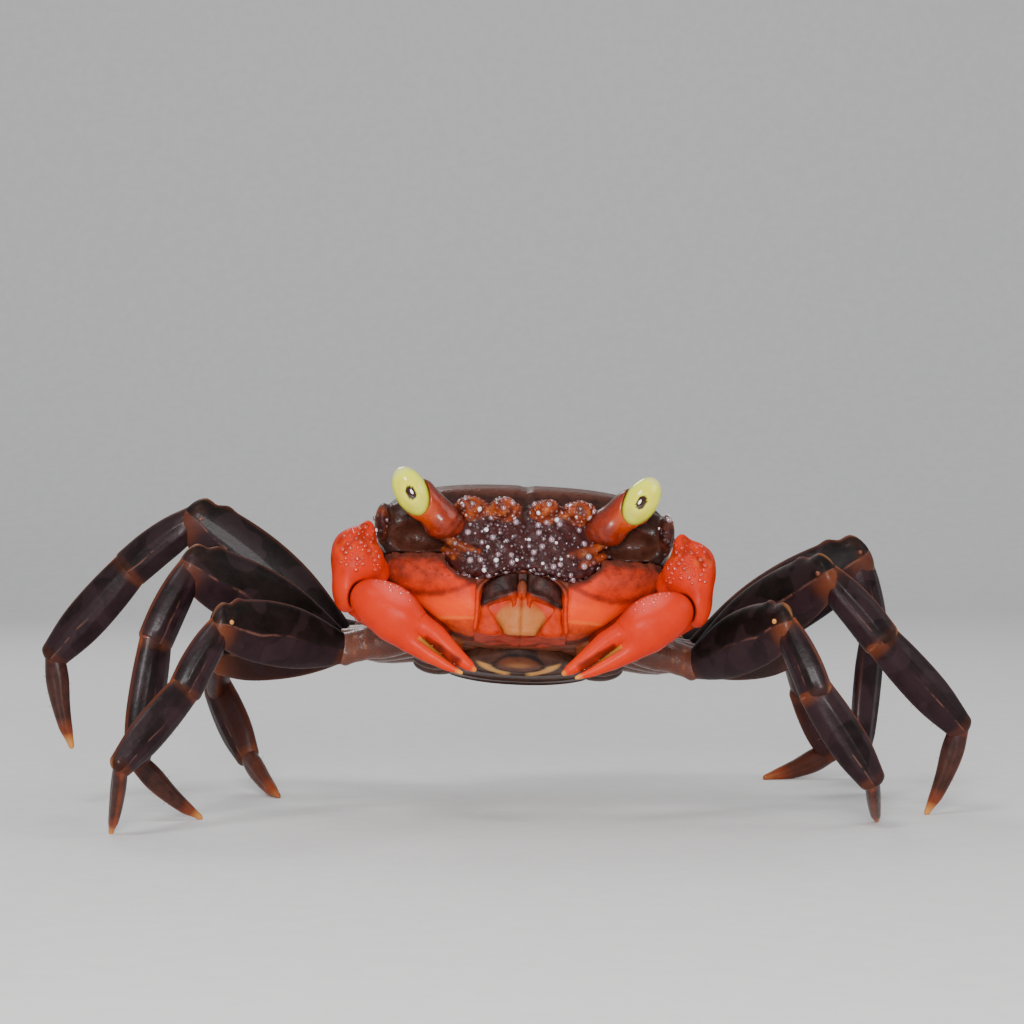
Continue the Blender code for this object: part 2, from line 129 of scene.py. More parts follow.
# Walking legs 2 to 5 from the front: merus, carpus, propodus and dactylus lengths.
LEG_LENGTHS = {
    2: (8.8, 4.2, 5.8, 4.7),
    3: (10.5, 4.9, 7.1, 5.4),
    4: (11.9, 5.0, 7.1, 5.6),
    5: (10.2, 3.9, 5.1, 4.9),
}
LEG_GIRTH = {2: 0.95, 3: 1.02, 4: 1.1, 5: 1.06}
LEG_ROOT = {
    2: (6.1, -3.1, -3.7),
    3: (6.2, -0.6, -3.7),
    4: (6.0, 1.9, -3.5),
    5: (5.4, 4.2, -3.1),
}
LEG_HIP = {
    2: (10.4, -2.7, -4.9),
    3: (10.9, 0.1, -4.3),
    4: (10.8, 2.8, -3.7),
    5: (9.9, 5.4, -2.9),
}
# Swing and rise of merus, carpus and propodus; swing and way of the dactylus.
LEG_POSE = {
    ("right", 2): ((40, 12), (30, -59), (38, -44), 112, "tucked"),
    ("right", 3): ((25, 29), (33, -62), (40, -79), 36, "tucked"),
    ("right", 4): ((3, 41), (-1, -38), (-1, -48), -3, -100),
    ("right", 5): ((-23, -7), (-81, -37), (-42, -124), -59, "tucked"),
    ("left", 2): ((56, 18), (36, -64), (8, -58), 102, "tucked"),
    ("left", 3): ((39, 31), (9, -51), (-13, -47), 19, "tucked"),
    ("left", 4): ((0, 31.5), (-33, -78), (-60, -106), -74, "out"),
    ("left", 5): ((-39, -1), (-68, -48), (-38, -59), -16, "tucked"),
}
CAP_REACH = 0.95
FOOT_SINK = 0.1
BRISTLE_CLEARANCE = 0.5
HINGE_RADII = (0.15, 0.12, 0.15)
LAST_LEG_PLUMP = 1.12  # the last two segments of leg 5 against their solids

# Limb profiles: fraction of the length, half height, half thickness, lift off the axis.
LIMB_PROFILES = {
    "base": ((0.0, 1.15, 1.0, 0), (0.45, 1.2, 1.02, 0), (0.75, 1.0, 0.85, 0), (1.0, 1.05, 0.7, 0)),
    "merus": (
        (0.0, 0.95, 0.6, 0),
        (0.12, 1.3, 0.68, 0),
        (0.38, 1.85, 0.75, 0.05),
        (0.62, 1.95, 0.74, 0.05),
        (0.85, 1.7, 0.72, 0),
        (1.0, 1.3, 0.7, 0),
    ),
    "carpus": (
        (0.0, 0.7, 0.5, 0), (0.25, 0.98, 0.66, 0), (0.65, 1.12, 0.7, 0.05), (1.0, 1.12, 0.66, 0),
    ),
    "propodus": (
        (0.0, 1.05, 0.6, 0), (0.3, 1.18, 0.65, 0), (0.7, 1.14, 0.62, 0), (1.0, 0.82, 0.55, 0),
    ),
    "dactylus": (
        (0.0, 0.55, 0.42, 0),
        (0.25, 0.66, 0.46, 0.1),
        (0.6, 0.5, 0.4, 0.18),
        (0.88, 0.34, 0.3, 0.1),
        (1.0, 0.27, 0.26, 0),
    ),
    "arm": ((0.0, 0.9, 0.9, 0), (0.35, 1.2, 1.0, 0), (0.8, 1.35, 1.1, 0), (1.0, 1.15, 1.0, 0)),
}
SHOULDER = (4.9, -5.0, -4.1)
ELBOW = (9.2, -7.7, -2.7)
PALM_BASE = (9.75, -10.2, -2.4)
CLAW_TIP = (2.3, -11.0, -7.1)


# ---------------------------------------------------------------- colours and sizes
def srgb(red, green, blue):
    """A colour given as a screen shows it, as linear light."""
    shares = (value / 255 for value in (red, green, blue))
    return tuple(s / 12.92 if s <= 0.04045 else ((s + 0.055) / 1.055) ** 2.4 for s in shares)


def colour(name, description, red, green, blue):
    return bpy.props.FloatVectorProperty(
        name=name, description=description, subtype="COLOR", size=3, min=0, max=1,
        default=srgb(red, green, blue),
    )


def length(name, description, millimetres):
    return bpy.props.FloatProperty(
        name=name, description=description, unit="LENGTH", min=0, default=millimetres * MM,
    )


class CrabColours(bpy.types.PropertyGroup):
    """Colours of the living crab."""

    shell: colour("Shell", "Purple-brown of the carapace", 60, 34, 28)
    shell_front: colour("Front", "Nearly black brown of the granular front", 66, 24, 22)
    shell_patch: colour("Shell patches", "Orange-brown of the lobes and edges", 160, 66, 24)
    granule: colour("Granules", "Grey-purple of the beads on the front", 98, 68, 74)
    cheek: colour("Cheeks", "Bright orange beside the mouth", 230, 56, 2)
    claw: colour("Claws", "Red-orange of the claws", 214, 44, 4)
    claw_tip: colour("Claw tips", "Pale yellow finger tips", 246, 178, 70)
    leg: colour("Legs", "Purple-brown of the walking legs", 44, 27, 31)
    leg_upper: colour("Upper leg", "Grey-brown of the upper half of a leg", 27, 21, 18)
    leg_edge: colour("Leg edges", "Translucent orange-brown of the thin edges", 128, 66, 36)
    toe: colour("Toes", "Red-brown of the last leg segment", 70, 38, 30)
    toe_tip: colour("Toe tips", "Pale yellow tips of the toes", 214, 146, 76)
    eye: colour("Eyes", "Yellow of the eyes", 240, 246, 56)
    pupil: colour("Pupils", "Dark spot that a crab's eye shows to its viewer", 52, 14, 6)
    stalk: colour("Eyestalks", "Orange-red of the eyestalks", 156, 46, 14)
    floor: colour("Floor", "Pale studio floor", 240, 239, 237)


class CrabSizes(bpy.types.PropertyGroup):
    """Sizes of the fine relief."""

    granule: length("Granule", "Largest radius of a granule on the front", 0.2)
    granule_gap: length("Granule spacing", "Least distance between granules", 0.26)
    tubercle: length("Tubercle", "Largest radius of a tubercle on the wrist", 0.16)
    bristle: length("Bristle", "Length of a bristle on the legs", 0.4)
    shell_step: length("Shell step", "Mesh spacing of the carapace", 0.115)
    fine_step: length("Fine step", "Mesh spacing of the mouth and claws", 0.075)


def colours():
    return bpy.context.scene.crab_colours


def sizes():
    return bpy.context.scene.crab_sizes


# ---------------------------------------------------------------- shape tools
def curve_through(stations, at):
    """Smooth values between table rows. The first column is the place."""
    table = np.array(stations, float)
    place, values = table[:, 0], table[:, 1:]
    slope = np.gradient(values, place, axis=0)
    at = np.clip(at, place[0], place[-1])
    i = np.clip(np.searchsorted(place, at, side="right") - 1, 0, len(place) - 2)
    step = (place[i + 1] - place[i])[..., None]
    t = (at - place[i])[..., None] / step
    rise = t * t * (3 - 2 * t)
    lean = t * (1 - t)
    bend = slope[i] * (1 - t) - slope[i + 1] * t
    return values[i] + rise * (values[i + 1] - values[i]) + lean * bend * step


def ramp(value, start, end):
    """0 before start, 1 after end, with a smooth rise between."""
    t = np.clip((value - start) / (end - start), 0, 1)
    return t * t * (3 - 2 * t)


def fall(value, start, end):
    """1 before start, 0 after end, with a smooth fall between."""
    return ramp(-value, -end, -start)


def bell(value, width):
    """1 at zero, falling off on both sides over about the width."""
    return np.exp(-((value / width) ** 2))


def soft_min(a, b, k):
    """The lesser of two fields, rounded where they meet."""
    h = np.clip(0.5 + 0.5 * (b - a) / k, 0, 1)
    return b + (a - b) * h - k * h * (1 - h)


def soft_max(a, b, k):
    """The greater of two fields, rounded where they meet."""
    return -soft_min(-a, -b, k)


def join(field, *others):
    """Adds shapes to a field, each given with its softness."""
    for other, softness in others:
        field = soft_min(field, other, softness)
    return field


def carve(field, *cuts):
    """Keeps what lies inside every cut, each given with its softness."""
    for other, softness in cuts:
        field = soft_max(field, other, softness)
    return field


def blob(p, at, radii):
    """Field of an ellipsoid: negative inside, roughly the distance outside."""
    near = np.sqrt(sum(((c - a) / r) ** 2 for c, a, r in zip(p, at, radii)))
    steep = np.sqrt(sum(((c - a) / r**2) ** 2 for c, a, r in zip(p, at, radii)))
    return near * (near - 1) / np.maximum(steep, 1e-6)


def blobs(p, first, *others):
    """Field of ellipsoids, each after the first joined on with its softness."""
    return join(blob(p, *first), *((blob(p, at, radii), soft) for at, radii, soft in others))


def rods(p, stations):
    """Field of a chain of tapered rods through stations of x, y, z and radius."""
    field = None
    for a, b in zip(stations, stations[1:]):
        run = [end - start for start, end in zip(a, b)]
        square = sum(part**2 for part in run[:3])
        t = sum((c - s) * part for c, s, part in zip(p, a, run)) / square
        t = np.clip(t, 0, 1)
        gap = sum((c - s - t * part) ** 2 for c, s, part in zip(p, a, run))
        rod = np.sqrt(gap) - (a[3] + t * run[3])
        field = rod if field is None else np.minimum(field, rod)
    return field


def lumps(p, size, shift=0.0):
    """Smooth irregular bumps between -1 and 1, each about as wide as the size."""
    x, y, z = (c * 2.6 / size + shift for c in p)
    one = np.sin(x + 1.3 * np.sin(0.7 * y)) * np.sin(1.1 * y + 1.2 * np.sin(0.8 * z))
    two = np.sin(0.9 * z + 1.1 * np.sin(0.6 * x)) * np.sin(0.8 * x + 0.9 * y)
    return 0.55 * (one + two)


def seen_from(p, turn):
    """A field's coordinates after a change of frame."""
    rows = [turn[i] for i in range(3)]
    return tuple(row[0] * p[0] + row[1] * p[1] + row[2] * p[2] + row[3] for row in rows)


CORNERS = [(i, j, k) for i in (0, 1) for j in (0, 1) for k in (0, 1)]


def skin_of(shape, low, high, step):
    """Points and outward quads of the surface of a field, sampled over a box."""
    axes = [np.arange(a, b + step, step) for a, b in zip(low, high)]
    field = shape(tuple(np.meshgrid(*axes, indexing="ij", sparse=True)))
    inside = field < 0
    extent = [n - 1 for n in field.shape]

    def corner(array, c):
        return array[tuple(slice(s, s + n) for s, n in zip(c, extent))]

    count = sum(corner(inside, c).astype(np.int8) for c in CORNERS)
    cells = np.argwhere((count > 0) & (count < len(CORNERS)))
    number = np.full(extent, -1, np.int64)
    number[tuple(cells.T)] = np.arange(len(cells))
    total, hits = np.zeros((len(cells), 3)), np.zeros((len(cells), 1))
    for start in CORNERS:
        for axis in range(3):
            if start[axis]:
                continue
            ahead = np.eye(3, dtype=int)[axis]
            a = field[tuple((cells + start).T)]
            b = field[tuple((cells + start + ahead).T)]
            crosses = (a < 0) != (b < 0)
            share = np.where(crosses, a / np.where(crosses, a - b, 1), 0)
            total += (start + share[:, None] * ahead) * crosses[:, None]
            hits += crosses[:, None]
    points = np.array([axis[0] for axis in axes]) + step * (cells + total / hits)

    quads = []
    for axis in range(3):
        u, v = np.eye(3, dtype=int)[(axis + 1) % 3], np.eye(3, dtype=int)[(axis + 2) % 3]
        low_side = np.moveaxis(inside, axis, 0)[:-1]
        high_side = np.moveaxis(inside, axis, 0)[1:]
        edges = np.argwhere(np.moveaxis(low_side != high_side, 0, axis))
        fits = np.all(edges - u - v >= 0, axis=1) & np.all(edges < extent, axis=1)
        edges = edges[fits]
        ring = [edges, edges - u, edges - u - v, edges - v]
        ring = np.stack([number[tuple(spot.T)] for spot in ring], axis=1)
        outward = inside[tuple(edges.T)][:, None]
        quads.append(np.where(outward, ring, ring[:, ::-1]))
    return points, np.concatenate(quads)


def tube_faces(rings, around):
    """Outward faces of rings of points with a pole before and after them."""
    faces = []
    last = rings * around
    for i in range(around):
        nxt = (i + 1) % around
        for r in range(rings - 1):
            low, high = r * around, (r + 1) * around
            faces.append((low + i, low + nxt, high + nxt, high + i))
        faces.append((last, nxt, i))
        top = (rings - 1) * around
        faces.append((last + 1, top + i, top + nxt))
    return faces


def frame_along(origin, along, up_hint=(0, 0, 1)):
    """Axes at a point: X along the limb, Z as near to the hint as it can be."""
    x = Vector(along).normalized()
    y = Vector(up_hint).cross(x).normalized()
    z = x.cross(y)
    return Matrix.Translation(origin) @ Matrix((x, y, z)).transposed().to_4x4()


def stance():
    pitch = Matrix.Rotation(math.radians(-NOSE_UP), 4, "X")
    roll = Matrix.Rotation(math.radians(LEFT_SIDE_DOWN), 4, "Y")
    return Matrix.Translation(BODY_AT) @ roll @ pitch


BODY = stance()


def placed(points, place):
    turn = np.array(place.to_3x3())
    return points @ turn.T + np.array(place.translation)


def on_side(place, side):
    return Vector((place[0] * SIDE_SIGN[side], place[1], place[2]))


def for_side(side, points, faces):
    """A shape of the left side, or its mirror image for the right side."""
    if side == "left":
        return points, faces
    return points * (-1, 1, 1), [tuple(reversed(face)) for face in faces]


def new_mesh(name, points, faces):
    """A smooth mesh of millimetre points."""
    mesh = bpy.data.meshes.new(name)
    corners = [tuple(map(int, face)) for face in faces]
    mesh.from_pydata((np.asarray(points) * MM).tolist(), [], corners)
    mesh.shade_smooth()
    return mesh


def new_object(name, content):
    thing = bpy.data.objects.new(name, content)
    bpy.context.scene.collection.objects.link(thing)
    return thing


def add_piece(name, points, faces, finish, masks, node=None):
    """A visible piece: millimetre points in the world, faces, finish and painted masks.

    Each mask is a value for every point or one for all; what it paints lies from 0 to 1.
    The piece takes the finish's material, and node is the CAD node that the piece replaces and
    hides.
    """
    mesh = new_mesh(name, points, faces)
    for title, values in (dict.fromkeys(PAINTS, 0) | masks).items():
        if title not in PLACES:
            values = np.clip(values, 0, 1)
        attribute = mesh.attributes.new(title, "FLOAT", "POINT")
        values = np.broadcast_to(values, len(points)).astype(np.float32)
        attribute.data.foreach_set("value", values)
    return add_mesh(name, mesh, finish, node)


def add_mesh(name, mesh, finish, node=None):
    thing = new_object(name, mesh)
    mesh.materials.clear()
    mesh.materials.append(look(finish))
    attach(thing, "root")
    if node:
        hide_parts(node)
    return thing


# ---------------------------------------------------------------- materials
PAINTS = ("warm", "cool", "dark", "pale")
PLACES = ("along", "tall")  # where on a leg a point is, for the leg's own lines


def add_node(tree, kind, **settings):
    made = tree.nodes.new(kind)
    for key, value in settings.items():
        setattr(made, key, value)
    return made


def feed(tree, socket, value):
    """Links a socket to an input, or sets the input's own number, vector or colour."""
    if isinstance(value, bpy.types.NodeSocket):
        tree.links.new(value, socket)
    elif hasattr(value, "__len__") and len(value) == 3 and socket.type == "RGBA":
        socket.default_value = (*value, 1)
    else:
        socket.default_value = value


def wired(tree, kind, inputs, **settings):
    """Adds a node, feeds its inputs and gives its outputs."""
    made = add_node(tree, kind, **settings)
    for key, value in inputs.items():
        feed(tree, made.inputs[key], value)
    return made.outputs


def mix_colours(tree, share, a, b, blend="MIX"):
    inputs = {0: share, 6: a, 7: b}
    return wired(tree, "ShaderNodeMix", inputs, data_type="RGBA", blend_type=blend)[2]


def maths(tree, operation, *values, clamp=False):
    inputs = dict(enumerate(values))
    return wired(tree, "ShaderNodeMath", inputs, operation=operation, use_clamp=clamp)[0]


def mask_value(tree, name):
    return add_node(tree, "ShaderNodeAttribute", attribute_name=name).outputs["Fac"]


def noise_value(tree, scale, detail=3, roughness=0.55, distortion=0.0):
    """Noise over Object coordinates; scale counts features per millimetre."""
    where = add_node(tree, "ShaderNodeTexCoord").outputs["Object"]
    place = wired(tree, "ShaderNodeMapping", {"Vector": where, "Scale": [1 / MM] * 3})[0]
    return wired(tree, "ShaderNodeTexNoise", {
        "Vector": place, "Scale": scale, "Detail": detail, "Roughness": roughness,
        "Distortion": distortion,
    })["Fac"]


def stretched(tree, value, start, end):
    """Maps start..end to 0..1 and clamps."""
    inputs = {"Value": value, "From Min": start, "From Max": end}
    return wired(tree, "ShaderNodeMapRange", inputs, interpolation_type="SMOOTHSTEP")["Result"]


def new_group(name, inputs, outputs):
    """An empty shader group: inputs as (name, kind, default), outputs as (name, kind)."""
    group = bpy.data.node_groups.new(name, "ShaderNodeTree")
    for title, kind, default in inputs:
        socket = group.interface.new_socket(title, in_out="INPUT", socket_type=kind)
        socket.default_value = default
    for title, kind in outputs:
        group.interface.new_socket(title, in_out="OUTPUT", socket_type=kind)
    return group, group.nodes.new("NodeGroupInput"), group.nodes.new("NodeGroupOutput")


COLOR, FLOAT = "NodeSocketColor", "NodeSocketFloat"
BLACK = (0, 0, 0, 1)
TINTS = ("Base", "Warm", "Cool", "Dark", "Pale")


def chitin_group():
    """Wet chitin: painted masks choose the colour, noise mottles and dimples it."""
    found = bpy.data.node_groups.get("Wet chitin")
    if found:
        return found
    group, given, made = new_group(
        "Wet chitin",
        [(tint, COLOR, BLACK) for tint in TINTS]
        + [("Mottle Scale", FLOAT, 0.8), ("Mottle", FLOAT, 0.3), ("Speckle", FLOAT, 0.2)]
        + [("Gloss", FLOAT, 0.2), ("Dimple", FLOAT, 0.3), ("Dulling", FLOAT, 0.3)],
        [("Color", COLOR), ("Roughness", FLOAT), ("Height", FLOAT)],
    )
    cloud = noise_value(group, given.outputs["Mottle Scale"], detail=5, roughness=0.62)
    tone = given.outputs["Base"]
    for tint in TINTS[1:]:
        share = mask_value(group, tint.lower())
        edge = maths(group, "SUBTRACT", cloud, 0.5)
        ragged = maths(group, "MULTIPLY_ADD", edge, 0.9, share)
        solid = maths(group, "MULTIPLY", ragged, stretched(group, share, 0.02, 0.3), clamp=True)
        tone = mix_colours(group, solid, tone, given.outputs[tint])
    blotch = stretched(group, cloud, 0.35, 0.7)
    blotch = maths(group, "MULTIPLY", blotch, given.outputs["Mottle"])
    tone = mix_colours(group, blotch, tone, mix_colours(group, 1.0, tone, tone, "MULTIPLY"))
    fleck = stretched(group, noise_value(group, 5.5, detail=2), 0.62, 0.75)
    fleck = maths(group, "MULTIPLY", fleck, given.outputs["Speckle"])
    lighter = mix_colours(group, 1.0, tone, (0.03, 0.02, 0.018), "ADD")
    tone = mix_colours(group, fleck, tone, lighter)
    group.links.new(tone, made.inputs["Color"])
    fine = noise_value(group, 3.2, detail=3)
    dull = maths(group, "MULTIPLY_ADD", fine, 0.16, given.outputs["Gloss"])
    dull = maths(group, "MULTIPLY_ADD", mask_value(group, "dark"), given.outputs["Dulling"], dull)
    group.links.new(maths(group, "SUBTRACT", dull, 0.05), made.inputs["Roughness"])
    pits = maths(group, "MULTIPLY", fine, given.outputs["Dimple"])
    soft = maths(group, "MULTIPLY_ADD", cloud, 0.5, pits)
    group.links.new(soft, made.inputs["Height"])
    return group


def chitin(name, tints, mottle=0.3, scale=0.8, speckle=0.2, gloss=0.2, dimple=0.3, dulling=0.3,
           relief=0.08, glow=0.0, glow_colour=(1, 0.3, 0.1), coat=0.2, bend=1.45):
    """A shell material: dulling roughens its dark paint, glow is the light inside it."""
    made = bpy.data.materials.new(f"{name} chitin")
    made.use_nodes = True
    tree = made.node_tree
    skin = wired(tree, "ShaderNodeGroup", dict(zip(TINTS, tints)) | {
        "Mottle Scale": scale, "Mottle": mottle, "Speckle": speckle,
        "Gloss": gloss, "Dimple": dimple, "Dulling": dulling,
    }, node_tree=chitin_group())
    bump = wired(tree, "ShaderNodeBump", {
        "Strength": 0.6, "Distance": relief * MM, "Height": skin["Height"],
    })
    shader = tree.nodes["Principled BSDF"]
    for title, value in {
        "Base Color": skin["Color"], "Roughness": skin["Roughness"], "Normal": bump["Normal"],
        "IOR": bend, "Coat Weight": coat, "Coat Roughness": 0.08, "Subsurface Weight": glow,
        "Subsurface Radius": glow_colour, "Subsurface Scale": 0.5 * MM,
    }.items():
        feed(tree, shader.inputs[title], value)
    return made


# Each finish: its tints from base to pale, as the name of a crab colour or as sRGB, and settings.
FINISHES = {
    "shell": (
        ("shell", "shell_patch", (102, 58, 44), "shell_front", (190, 116, 52)),
        dict(mottle=0.6, scale=1.8, speckle=0.35, gloss=0.28, dimple=0.8, dulling=0.15,
             relief=0.12, coat=0.06, bend=1.25),
    ),
    "granules": (
        ("granule", "shell_patch", (96, 80, 78), "granule", (186, 156, 168)),
        dict(mottle=0.6, scale=2.2, gloss=0.08, dulling=0, relief=0.02, coat=1, bend=2.3),
    ),
    # White beads that stand in for glints: painted highlights.
    "painted_glints": (
        ((250, 242, 248),) * 5,
        dict(mottle=0, speckle=0, dulling=0, relief=0.01, coat=1, bend=2.3),
    ),
    "grit": (
        ("granule", "shell_patch", (84, 60, 56), (74, 48, 50), (110, 84, 88)),
        dict(mottle=0.6, scale=2.2, gloss=0.3, dulling=0, relief=0.02),
    ),
    "cheek": (
        # Dark is painted shade under the front and the orbit and in the crease; it also darkens the
        # back and the bottom.
        ("cheek", (250, 76, 2), (160, 30, 8), (96, 46, 34), (236, 130, 50)),
        dict(scale=1.6, gloss=0.38, glow=0.1, relief=0.1, coat=0, bend=1.22),
    ),
    "mouth": (
        ((136, 54, 36), (208, 58, 8), (112, 66, 50), (50, 20, 14), (208, 134, 68)),
        dict(mottle=0.5, scale=1.9, gloss=0.34, dulling=0, glow=0.1, relief=0.1, coat=0, bend=1.2),
    ),
    "belly": (
        ((84, 48, 34), (140, 66, 32), (78, 46, 34), (36, 23, 20), (236, 174, 92)),
        dict(mottle=0.5, scale=1.4, gloss=0.42, dimple=0.6, relief=0.14, coat=0, bend=1.33),
    ),
    "claw": (
        # Cool is the pink of the sheen painted on the upper palm.
        ("claw", (228, 58, 4), (240, 92, 84), (90, 24, 12), "claw_tip"),
        dict(mottle=0.22, scale=0.9, speckle=0.1, gloss=0.34, glow=0.08, relief=0.06, coat=0,
             bend=1.22),
    ),
    "tubercles": (
        ((214, 48, 8), (236, 92, 16), (240, 96, 84), (120, 34, 22), "claw_tip"),
        dict(scale=2, gloss=0.06, dulling=0, glow=0.2, relief=0.02, coat=0.6, bend=1.6),
    ),
    "joint": (
        ((76, 44, 34), (140, 66, 34), "leg", (34, 21, 19), (214, 152, 78)),
        dict(mottle=0.5, scale=1.6, gloss=0.26, relief=0.14, coat=0.3),
    ),
    "leg": (
        ("leg", "leg_edge", "leg_upper", (24, 16, 16), (206, 150, 90)),
        dict(mottle=0.45, scale=0.7, speckle=0.3, gloss=0.34, dimple=0.35, coat=0.03, bend=1.21),
    ),
    "toe": (
        ("toe", (150, 68, 34), "leg", (44, 26, 22), "toe_tip"),
        dict(mottle=0.45, scale=1.5, speckle=0.5, gloss=0.28, relief=0.06, coat=0.06, bend=1.3),
    ),
    "stalk": (
        ("stalk", (214, 84, 20), (96, 34, 18), (50, 18, 12), (236, 140, 80)),
        dict(mottle=0.4, scale=1.4, gloss=0.24, glow=0.2, relief=0.06, bend=1.4),
    ),
    "eye": (
        # Cool is painted shade and pale is painted light on the eye.
        ("eye", (236, 200, 50), (190, 196, 90), "pupil", (236, 234, 150)),
        dict(mottle=0.12, scale=1, speckle=0.05, gloss=0.04, dimple=0.05, dulling=0, relief=0.01,
             glow=0.1, glow_colour=(1, 0.9, 0.4), coat=0.6),
    ),
    "bristle": (
        ((120, 76, 46), "leg_edge", "leg", (44, 26, 20), "toe_tip"),
        dict(mottle=0.2, gloss=0.4, relief=0.01, coat=0),
    ),
}
MADE_LOOKS = {}


def look(name):
    """The finish of that name, made once."""
    if name not in MADE_LOOKS:
        tints, settings = FINISHES[name]
        tints = [getattr(colours(), t) if isinstance(t, str) else srgb(*t) for t in tints]
        MADE_LOOKS[name] = chitin(name, tints, **settings)
        if name == "leg":
            add_leg_lines(MADE_LOOKS[name].node_tree)
    return MADE_LOOKS[name]


def add_leg_lines(tree):
    """The tendon line and the faint darker panels that show through a leg's flanks."""
    shader = tree.nodes["Principled BSDF"]
    tone = shader.inputs["Base Color"].links[0].from_socket
    tall, along = mask_value(tree, "tall"), mask_value(tree, "along")
    drift = maths(tree, "MULTIPLY_ADD", noise_value(tree, 0.5, detail=1), 0.3, tall)
    line = maths(tree, "ABSOLUTE", maths(tree, "SUBTRACT", drift, 0.07))
    line = maths(tree, "SUBTRACT", 1.0, stretched(tree, line, 0.015, 0.06))
    ends = stretched(tree, along, 0.3, 0.75)
    broken = stretched(tree, noise_value(tree, 1.4), 0.4, 0.6)
    line = maths(tree, "MULTIPLY", line, maths(tree, "MULTIPLY", ends, broken))
    line = maths(tree, "MULTIPLY", line, 0.7)
    tone = mix_colours(tree, line, tone, srgb(112, 74, 62))
    shadow = noise_value(tree, 0.55, detail=1, roughness=0.2, distortion=0.6)
    panel = maths(tree, "MULTIPLY", stretched(tree, shadow, 0.52, 0.56), 0.35)
    tone = mix_colours(tree, panel, tone, srgb(58, 40, 44))
    tree.links.new(tone, shader.inputs["Base Color"])


# ---------------------------------------------------------------- scattered relief
BEAD = {"Segments": 8, "Rings": 5, "Radius": 1}
BEAD_SQUASH = (1, 1, 0.75)
BRISTLE = {"Vertices": 5, "Radius Top": 0.012, "Radius Bottom": 0.055, "Depth": 1}
SCATTER_INPUTS = {
    "Surface": "Geometry", "Spacing": "Float", "Density": "Float", "Smallest": "Float",
    "Largest": "Float", "Lean": "Float", "Palest": "Float", "Seed": "Int", "Material": "Material",
}


def scatter_tree(shape):
    """Beads or bristles standing on a surface where its "grain" mask says so."""
    title = f"Scattered {shape}"
    found = bpy.data.node_groups.get(title)
    if found:
        return found
    tree = bpy.data.node_groups.new(title, "GeometryNodeTree")
    for name, kind in SCATTER_INPUTS.items():
        tree.interface.new_socket(name, in_out="INPUT", socket_type=f"NodeSocket{kind}")
    tree.interface.new_socket("Relief", in_out="OUTPUT", socket_type="NodeSocketGeometry")
    given = tree.nodes.new("NodeGroupInput").outputs
    seed, lean = given["Seed"], given["Lean"]
    grain = wired(tree, "GeometryNodeInputNamedAttribute", {"Name": "grain"}, data_type="FLOAT")
    spots = wired(tree, "GeometryNodeDistributePointsOnFaces", {
        "Mesh": given["Surface"], "Distance Min": given["Spacing"], "Seed": seed,
        "Density Max": given["Density"], "Density Factor": grain["Attribute"],
    }, distribute_method="POISSON")
    if shape == "beads":
        unit = wired(tree, "GeometryNodeMeshUVSphere", BEAD)["Mesh"]
        unit = wired(tree, "GeometryNodeTransform", {"Geometry": unit, "Scale": BEAD_SQUASH})[0]
    else:
        unit = wired(tree, "GeometryNodeMeshCone", BRISTLE)["Mesh"]
    unit = wired(tree, "GeometryNodeSetShadeSmooth", {"Geometry": unit})[0]
    size = wired(tree, "FunctionNodeRandomValue", {
        2: given["Smallest"], 3: given["Largest"], "Seed": seed,
    }, data_type="FLOAT")[1]
    back = maths(tree, "MULTIPLY", lean, -1)
    tilt = wired(tree, "FunctionNodeRandomValue", {0: back, 1: lean}, data_type="FLOAT_VECTOR")[0]
    turn = wired(tree, "FunctionNodeRotateRotation", {
        "Rotation": spots["Rotation"], "Rotate By": tilt,
    }, rotation_space="LOCAL")[0]
    pale = wired(tree, "FunctionNodeRandomValue", {
        2: -1, 3: given["Palest"], "Seed": seed,
    }, data_type="FLOAT")[1]
    tinted = wired(tree, "GeometryNodeStoreNamedAttribute", {
        "Name": "pale", "Geometry": spots["Points"], "Value": pale,
    }, data_type="FLOAT", domain="POINT")[0]
    standing = wired(tree, "GeometryNodeInstanceOnPoints", {
        "Points": tinted, "Instance": unit, "Rotation": turn, "Scale": size,
    })[0]
    solid = wired(tree, "GeometryNodeRealizeInstances", {"Geometry": standing})[0]
    finish = {"Geometry": solid, "Material": given["Material"]}
    finished = wired(tree, "GeometryNodeSetMaterial", finish)[0]
    tree.links.new(finished, tree.nodes.new("NodeGroupOutput").inputs["Relief"])
    return tree


def scatter(name, carrier, shape, spacing, smallest, largest, finish, lean=0.1,
            palest=0.0, seed=1):
    """Makes one mesh of the beads or bristles that stand on a carrier piece."""
    tree = scatter_tree(shape)
    host = new_object(f"{name}_host", carrier.data.copy())
    modifier = host.modifiers.new("scatter", "NODES")
    modifier.node_group = tree
    values = {
        "Spacing": spacing, "Density": 3 / max(spacing, 1e-6) ** 2, "Smallest": smallest,
        "Largest": largest, "Lean": lean, "Palest": palest, "Seed": seed,
        "Material": look(finish),
    }
    for item in tree.interface.items_tree:
        if item.in_out == "INPUT" and item.name in values:
            modifier[item.identifier] = values[item.name]
    graph = bpy.context.evaluated_depsgraph_get()
    mesh = bpy.data.meshes.new_from_object(host.evaluated_get(graph))
    mesh.name = name
    host.modifiers.clear()
    bpy.data.objects.remove(host)
    return add_mesh(name, mesh, finish)


